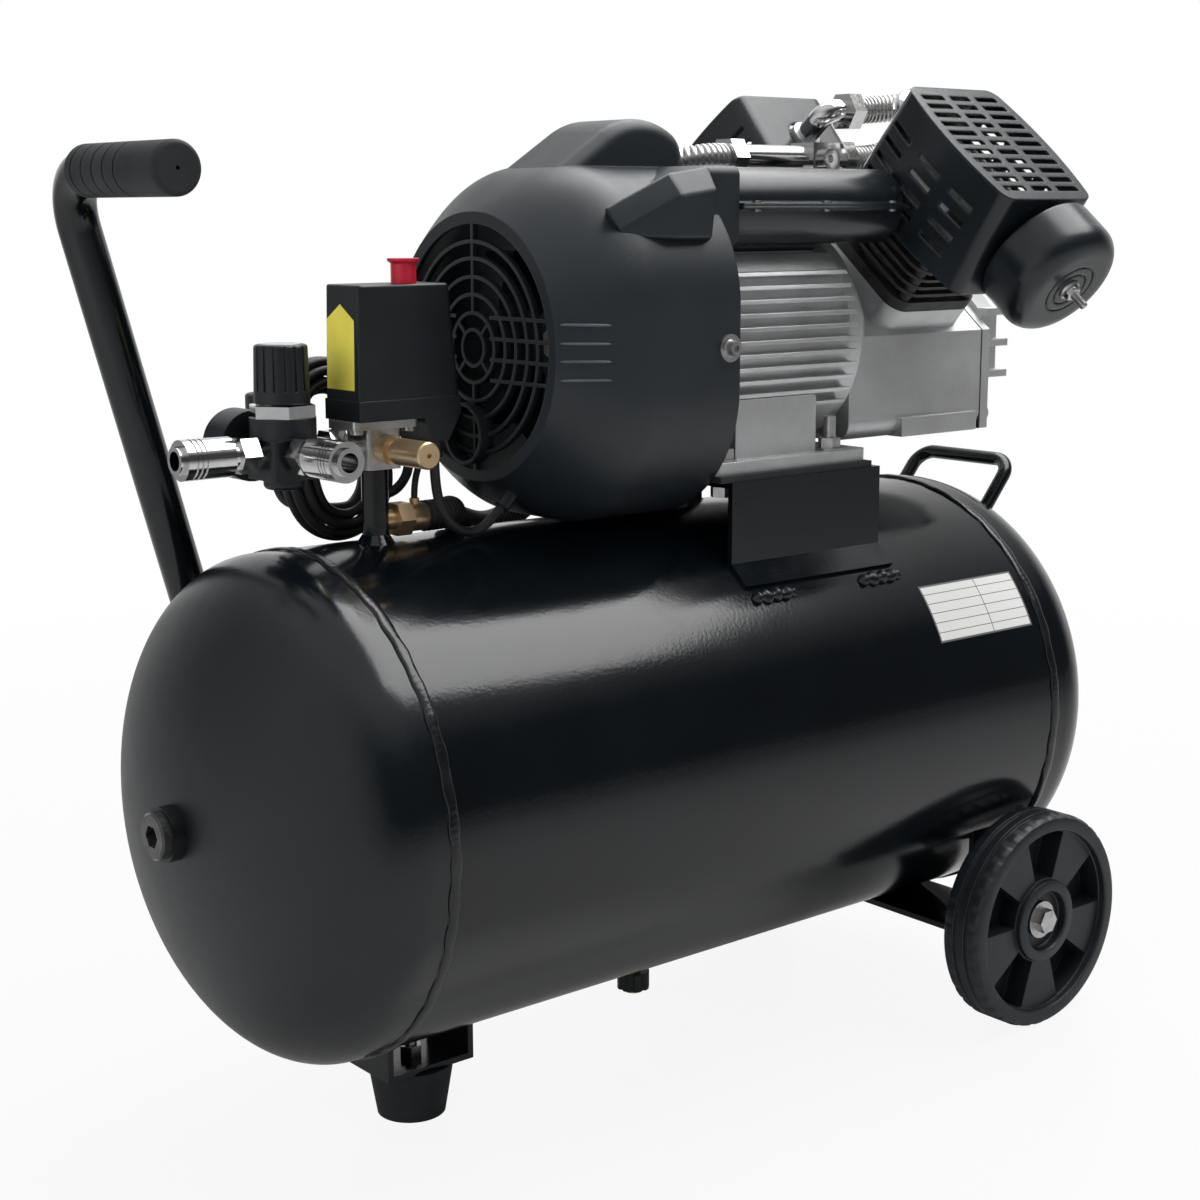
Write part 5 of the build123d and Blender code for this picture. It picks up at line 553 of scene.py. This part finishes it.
# Valves on the riser: turned brass check valve and safety valve, a zinc manifold, and the tank's drain.
brass = finish(
    "turned_brass", (0.78, 0.58, 0.36, 1), (0.7, 0.5, 0.29, 1), 60.0, (0.26, 0.38), 1600.0, 0.00002,
    metal=0.9,
)
dress(brass, "brass_valves", "drain_valve")
zinc_cast = finish(
    "zinc_cast", grey(0.5), grey(0.4, 0.02), 70.0, (0.3, 0.45), 900.0, 0.0001, metal=0.9,
    edge=0.0006, edge_colour=grey(0.7),
)
dress(zinc_cast, "switch_manifold")

# Pressure switch: a moulded tray and a drafted cover, with a red knob that is pulled up to start.
# A plain yellow sticker with a roof-shaped top is on the cover's left end.
switch_plastic = finish(
    "switch_plastic", grey(0.006, -0.32), grey(0.0095, -0.28), 45.0, (0.36, 0.46), 1900.0, 0.00006,
    edge=0.0009, edge_colour=grey(0.05),
)
dress(
    switch_plastic, "switch_base", "switch_cover", "regulator_body", "regulator_knob", "gauge_case",
    "drain_knob",
)
red_plastic = finish(
    "red_plastic", (0.5, 0.012, 0.035, 1), (0.42, 0.01, 0.03, 1), 90.0, (0.28, 0.36), 1500.0, 0.00004,
    edge=0.0006,
)
dress(red_plastic, "switch_knob")
sticker_yellow = finish(
    "sticker_yellow", (0.82, 0.74, 0.1, 1), (0.76, 0.66, 0.08, 1), 60.0, (0.3, 0.42), 1200.0, 0.00002,
)
sticker_columns, sticker_rows = 9, 13
sticker_foot, sticker_peak, sticker_slope = 0.456, 0.505, 0.009
cover_end_x, cover_foot_z, cover_draft, sticker_proud = -0.215, 0.45, 66.0, 0.00015
sticker_y = np.linspace(0.0155, -0.0135, sticker_columns)[None, :]
sticker_rise = np.linspace(0, 1, sticker_rows)[:, None]
sticker_top = sticker_peak - sticker_slope * np.abs(np.linspace(-1, 1, sticker_columns))[None, :]
sticker_z = sticker_foot + sticker_rise * (sticker_top - sticker_foot)
sticker_x = cover_end_x + (sticker_z - cover_foot_z) / cover_draft - sticker_proud
sticker_front = np.stack(np.broadcast_arrays(sticker_x, sticker_y, sticker_z), -1)
skin("switch_sticker", sticker_front, sticker_yellow, "chassis")

# Regulator: a black valve block with a chromed nut, a ribbed knob with a pale disc in its top, and a
# pressure gauge behind it with a white dial, black marks and a red needle under a clear lens.
pale_disc = finish("pale_disc", grey(0.45), grey(0.36), 160.0, (0.3, 0.4), 1500.0, 0.00003)
disc_turn = np.linspace(0, 2 * np.pi, 40, endpoint=False)[None, :]
disc_radius = np.array([0.0001, 0.006, 0.0108, 0.0112, 0.0112])[:, None]
disc_z = np.array([0.4844, 0.4844, 0.48445, 0.4842, 0.4836])[:, None]
knob_x = -0.255
disc_x = knob_x + disc_radius * np.cos(disc_turn)
disc_y = disc_radius * np.sin(disc_turn)
skin(
    "knob_disc", np.stack(np.broadcast_arrays(disc_x, disc_y, disc_z), -1),
    pale_disc, "regulator_knob", around=True, capped=True,
)
needle_red = finish(
    "needle_red", (0.5, 0.02, 0.02, 1), (0.42, 0.02, 0.02, 1), 200.0, (0.4, 0.5), 1500.0, 0.00002,
)
dress(needle_red, "gauge_needle")
dial_white = finish("dial_white", grey(0.72, 0.01), grey(0.66, 0.02), 80.0, (0.4, 0.5), 1500.0, 0.00001)
dial_black = finish("dial_black", grey(0.02), grey(0.03), 80.0, (0.4, 0.5), 1500.0, 0.00001)
gauge_x, gauge_z, dial_y = -0.262, 0.425, 0.0351
face_radius = np.array([0.0016, 0.007, 0.013, 0.0188])[:, None]
face_x = gauge_x - face_radius * np.cos(disc_turn)
face_z = gauge_z + face_radius * np.sin(disc_turn)
skin(
    "gauge_dial", np.stack(np.broadcast_arrays(face_x, dial_y, face_z), -1),
    dial_white, "chassis", around=True,
)
mark_count, mark_outer, dial_start, dial_sweep = 31, 0.0168, 225, 270
mark_turn = np.radians(dial_start - np.linspace(0, dial_sweep, mark_count))
mark_long = np.arange(mark_count) % 5 == 0
mark_inner = np.where(mark_long, 0.0138, 0.0152)[:, None]
mark_half = np.where(mark_long, 0.00035, 0.0002)[:, None]
mark_out = np.stack([-np.cos(mark_turn), 0 * mark_turn, np.sin(mark_turn)], -1)
mark_side = np.stack([np.sin(mark_turn), 0 * mark_turn, np.cos(mark_turn)], -1)
mark_base = np.array([gauge_x, dial_y + 0.00005, gauge_z])
mark_ends = [
    mark_base + radius * mark_out + sign * mark_half * mark_side
    for radius, sign in ((mark_inner, -1), (mark_inner, 1), (mark_outer, 1), (mark_outer, -1))
]
mark_faces = np.arange(4 * mark_count).reshape(-1, 4)
marks = bpy.data.meshes.new("gauge_marks")
marks.from_pydata(np.stack(mark_ends, 1).reshape(-1, 3).tolist(), [], mark_faces.tolist())
marks.materials.append(dial_black)
gauge_marks = bpy.data.objects.new("gauge_marks", marks)
bpy.context.scene.collection.objects.link(gauge_marks)
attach(gauge_marks, "chassis")
number_size, number_radius, number_proud = 0.0048, 0.0108, 0.00008
number_step = 45
facing_back = Matrix(((-1, 0, 0, 0), (0, 0, 1, 0), (0, 1, 0, 0), (0, 0, 0, 1)))
for step in range(dial_sweep // number_step + 1):
    text = bpy.data.curves.new(f"gauge_number_{step}", "FONT")
    text.body = str(2 * step)
    text.size = number_size
    text.align_x = "CENTER"
    text.align_y = "CENTER"
    letter = bpy.data.objects.new("letter", text)
    bpy.context.scene.collection.objects.link(letter)
    bpy.context.view_layer.update()
    shape = bpy.data.meshes.new_from_object(letter)
    bpy.data.objects.remove(letter)
    angle = math.radians(dial_start - number_step * step)
    number_x = gauge_x - number_radius * math.cos(angle)
    number_z = gauge_z + number_radius * math.sin(angle)
    spot = Vector((number_x, dial_y + number_proud, number_z))
    shape.transform(Matrix.Translation(spot) @ facing_back)
    shape.materials.clear()
    shape.materials.append(dial_black)
    number = bpy.data.objects.new(f"gauge_number_{step}", shape)
    bpy.context.scene.collection.objects.link(number)
    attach(number, "chassis")
lens, lens_shader, lens_place = new_finish("gauge_lens")
lens_shader.inputs["Base Color"].default_value = grey(0.9)
lens_shader.inputs["Alpha"].default_value = 0.12
(0.03 + 0.04 * lens_place.noise(90.0)).into(lens_shader, "Roughness")
lens_radius = np.array([0.0001, 0.006, 0.012, 0.0168, 0.0189, 0.0189, 0.0168, 0.012, 0.006, 0.0001])[:, None]
lens_y = np.array([0.0432, 0.0431, 0.0427, 0.0421, 0.0415, 0.0407, 0.0413, 0.0419, 0.0423, 0.0424])[:, None]
lens_x = gauge_x - lens_radius * np.cos(disc_turn)
lens_z = gauge_z + lens_radius * np.sin(disc_turn)
skin(
    "gauge_lens", np.stack(np.broadcast_arrays(lens_x, lens_y, lens_z), -1),
    lens, "chassis", around=True, capped=True,
)

cord_rubber = finish("cord_rubber", grey(0.012), grey(0.022, 0.03), 70.0, (0.42, 0.56), 1200.0, 0.00008)
lead_diameter, tube_diameter = 0.006, 0.004


def laid_cord(name, points, diameter):
    """A round cord: a circle swept along the smooth spline that has the route's points as control points."""
    data = bpy.data.curves.new(name, "CURVE")
    data.dimensions = "3D"
    data.resolution_u = 6
    data.bevel_depth = diameter / 2
    data.bevel_resolution = 4
    data.use_fill_caps = True
    spline = data.splines.new("NURBS")
    spline.points.add(len(points) - 1)
    spline.points.foreach_set("co", np.hstack([points, np.ones((len(points), 1))]).ravel())
    spline.order_u = 3
    spline.use_endpoint_u = True
    data.materials.append(cord_rubber)
    cord = bpy.data.objects.new(name, data)
    bpy.context.scene.collection.objects.link(cord)
    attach(cord, "chassis")
    return cord


lead_route = np.array([
    (-0.16, -0.013, 0.414), (-0.16, -0.013, 0.398), (-0.16, -0.02, 0.381), (-0.1471, -0.02, 0.3675),
    (-0.1289, -0.02, 0.3675), (-0.1162, -0.02, 0.3802),
])
motor_lead = laid_cord("motor_lead_cord", lead_route, lead_diameter)
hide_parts("motor_lead")
unloader_route = np.array([
    (-0.158, 0.004, 0.421), (-0.158, 0.004, 0.411), (-0.166, 0.0, 0.398), (-0.166, 0.0, 0.3885),
])
unloader = laid_cord("unloader_line", unloader_route, tube_diameter)
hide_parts("unloader_tube")

hank_bend, hank_half, hank_tilt = 0.026, 0.02, math.radians(15)
hank_x, hank_y, hank_z = -0.198, 0.04, 0.4166
hank_strands, hank_laps, hank_bundle, hank_per_lap = 8, 7, 0.0084, 22
lap = 4 * hank_half + 2 * math.pi * hank_bend
lap_start = hank_bend * math.radians(40)
lap_end = hank_bend * math.radians(90)


def hank_spots(run, lane):
    """The hank's line: a stadium lap of two straights and two half turns, seen from the front and tilted.
    Each lap shifts an eighth of a turn round the bundle, so that eight strands lie side by side."""
    on = run % lap
    bend = math.pi * hank_bend
    side = 2 * hank_half
    low = on < bend
    left = (on >= bend) & (on < bend + side)
    high = (on >= bend + side) & (on < 2 * bend + side)
    angle = np.select(
        [low, left, high], [-on / hank_bend, np.pi + 0 * on, np.pi - (on - bend - side) / hank_bend], 0.0 * on
    )
    straight = np.select(
        [low, left, high], [-hank_half + 0 * on, on - bend - hank_half, hank_half + 0 * on],
        hank_half - (on - 2 * bend - side),
    )
    loose = 1 + 0.22 * np.exp(-(((on - bend - side) / (0.6 * bend)) ** 2))
    out = hank_bend + hank_bundle * np.cos(lane) * loose
    flat_x = out * np.cos(angle)
    flat_z = straight + out * np.sin(angle)
    return np.stack([
        hank_x + flat_x * math.cos(hank_tilt) - flat_z * math.sin(hank_tilt),
        hank_y + hank_bundle * np.sin(lane),
        hank_z + flat_x * math.sin(hank_tilt) + flat_z * math.cos(hank_tilt),
    ], -1)


hank_run = np.linspace(lap_start + lead_diameter, hank_laps * lap + lap_end, hank_laps * hank_per_lap + 2)
hank_lane = np.pi - 2 * np.pi / hank_strands * (hank_run[-1] - hank_run) / lap
hank_turns = hank_spots(hank_run, hank_lane)
tail_in = np.array([
    (-0.16, 0.013, 0.414), (-0.16, 0.0138, 0.404), (-0.1612, 0.0195, 0.395), (-0.164, 0.0268, 0.3885),
])
tail_out = np.array([
    (-0.2035, 0.0475, 0.3808), (-0.2135, 0.0585, 0.3815), (-0.2195, 0.0665, 0.387), (-0.22, 0.0688, 0.396),
])
mains_lead = laid_cord("mains_lead_hank", np.vstack([tail_in, hank_turns, tail_out]), lead_diameter)
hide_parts("mains_cord")
plug_rubber, plug_shader, plug_place = new_finish("plug_rubber")
_, _, plug_up = plug_place.axes()
pin_foot_z = 0.4502
pin_metal = plug_up > pin_foot_z
plug_tint = plug_place.noise(80.0).blend(grey(0.012), grey(0.022))
pin_metal.blend(plug_tint, grey(0.5)).into(plug_shader, "Base Color")
pin_metal.into(plug_shader, "Metallic")
(0.5 - 0.22 * pin_metal + 0.08 * plug_place.noise(200.0)).into(plug_shader, "Roughness")
plug_grain = plug_place.add("ShaderNodeBump", {"Height": plug_place.noise(1200.0), "Distance": 0.00006})
plug_grain.into(plug_shader, "Normal")
dress(plug_rubber, "mains_plug")

# Stage: a pale floor that runs out of sight, soft lamps above and beside, and the photograph's viewpoint.
# The floor and the far wall look white to the camera, and the room stays dim for what the black parts mirror.
scene = bpy.context.scene
scene.view_settings.view_transform = "Standard"
floor_mesh = bpy.data.meshes.new("floor")
far = 30
floor_mesh.from_pydata([(-far, -far, 0), (far, -far, 0), (far, far, 0), (-far, far, 0)], [], [(0, 1, 2, 3)])
floor = bpy.data.objects.new("floor", floor_mesh)
scene.collection.objects.link(floor)
floor_finish, floor_shader, floor_place = new_finish("pale_floor")
floor_shader.inputs["Base Color"].default_value = grey(0.5)
floor_shader.inputs["Roughness"].default_value = 0.16
floor_shader.inputs["Specular IOR Level"].default_value = 0.35
ray_outputs = floor_place.add("ShaderNodeLightPath").socket.node.outputs
seen = Wire(floor_finish.node_tree, ray_outputs["Is Camera Ray"])
mirrored = Wire(floor_finish.node_tree, ray_outputs["Is Glossy Ray"])
through = Wire(floor_finish.node_tree, ray_outputs["Is Transmission Ray"])
glow = floor_place.add("ShaderNodeEmission", {"Color": grey(1.0), "Strength": 1.0})
floor_reach = floor_place.add("ShaderNodeVectorMath", {0: floor_place}, out=1, operation="LENGTH")
white_share = 0.9 + 0.1 * floor_reach.between(0.6, 1.8)
mirror_share = 0.08
lit = floor_place.add(
    "ShaderNodeMixShader",
    {
        0: white_share * seen + mirror_share * (mirrored + through).between(0.0, 1.0) * (1 - seen),
        1: Wire(floor_finish.node_tree, floor_shader.outputs[0]),
        2: glow,
    },
)
lit.into(floor_finish.node_tree.nodes["Material Output"], "Surface")
floor_mesh.materials.append(floor_finish)

world = bpy.data.worlds.new("studio")
scene.world = world
world.use_nodes = True
sky_tree = world.node_tree
sky = Wire(sky_tree, sky_tree.nodes.new("ShaderNodeTexCoord").outputs["Generated"])
sky_x, sky_y, sky_up = sky.axes()
dome = sky_up.between(0.45, 0.8)
bright_side = (-1.0 * sky_x).between(0.55, 0.95)
view_x, view_y = 0.638, 0.77
far_wall = (view_x * sky_x + view_y * sky_y).between(0.35, 0.75)
sky_rays = sky.add("ShaderNodeLightPath").socket.node.outputs
sky_seen = Wire(sky_tree, sky_rays["Is Camera Ray"])
walls = far_wall.blend(bright_side.blend(grey(0.06), grey(0.7)), grey(0.9))
room = dome.blend(walls, grey(0.7))
backdrop = sky_seen.blend(room, grey(1.0))
sky_tree.links.new(backdrop.socket, sky_tree.nodes["Background"].inputs["Color"])
sky_tree.nodes["Background"].inputs["Strength"].default_value = 1.0


def softbox(name, place, aim, width, height, power):
    """A large rectangular lamp at a place, turned towards a point."""
    data = bpy.data.lights.new(name, "AREA")
    data.shape = "RECTANGLE"
    data.size = width
    data.size_y = height
    data.energy = power
    lamp = bpy.data.objects.new(name, data)
    lamp.location = place
    lamp.rotation_euler = (Vector(aim) - Vector(place)).to_track_quat("-Z", "Y").to_euler()
    scene.collection.objects.link(lamp)
    return lamp


softbox("overhead", (0.75, 0.0, 1.9), (0.15, 0, 0.4), 2.4, 1.3, 46.0)
softbox("left_side", (-2.0, -0.3, 1.0), (0, 0, 0.35), 1.2, 1.6, 18.0).visible_glossy = False
softbox("front_fill", (0.6, -2.2, 1.2), (0.1, 0, 0.4), 1.6, 1.2, 12.0).visible_glossy = False

camera_data = bpy.data.cameras.new("camera")
camera_data.lens = 60.67
camera_data.sensor_width = 36.0
camera = bpy.data.objects.new("camera", camera_data)
yaw, pitch, roll = math.radians(39.65), math.radians(10.92), math.radians(-0.11)
ahead = Vector((math.sin(yaw) * math.cos(pitch), math.cos(yaw) * math.cos(pitch), -math.sin(pitch)))
aimed = ahead.to_track_quat("-Z", "Y").to_matrix().to_4x4()
camera.matrix_world = Matrix.Translation(eye) @ aimed @ Matrix.Rotation(roll, 4, "Z")
scene.collection.objects.link(camera)
scene.camera = camera
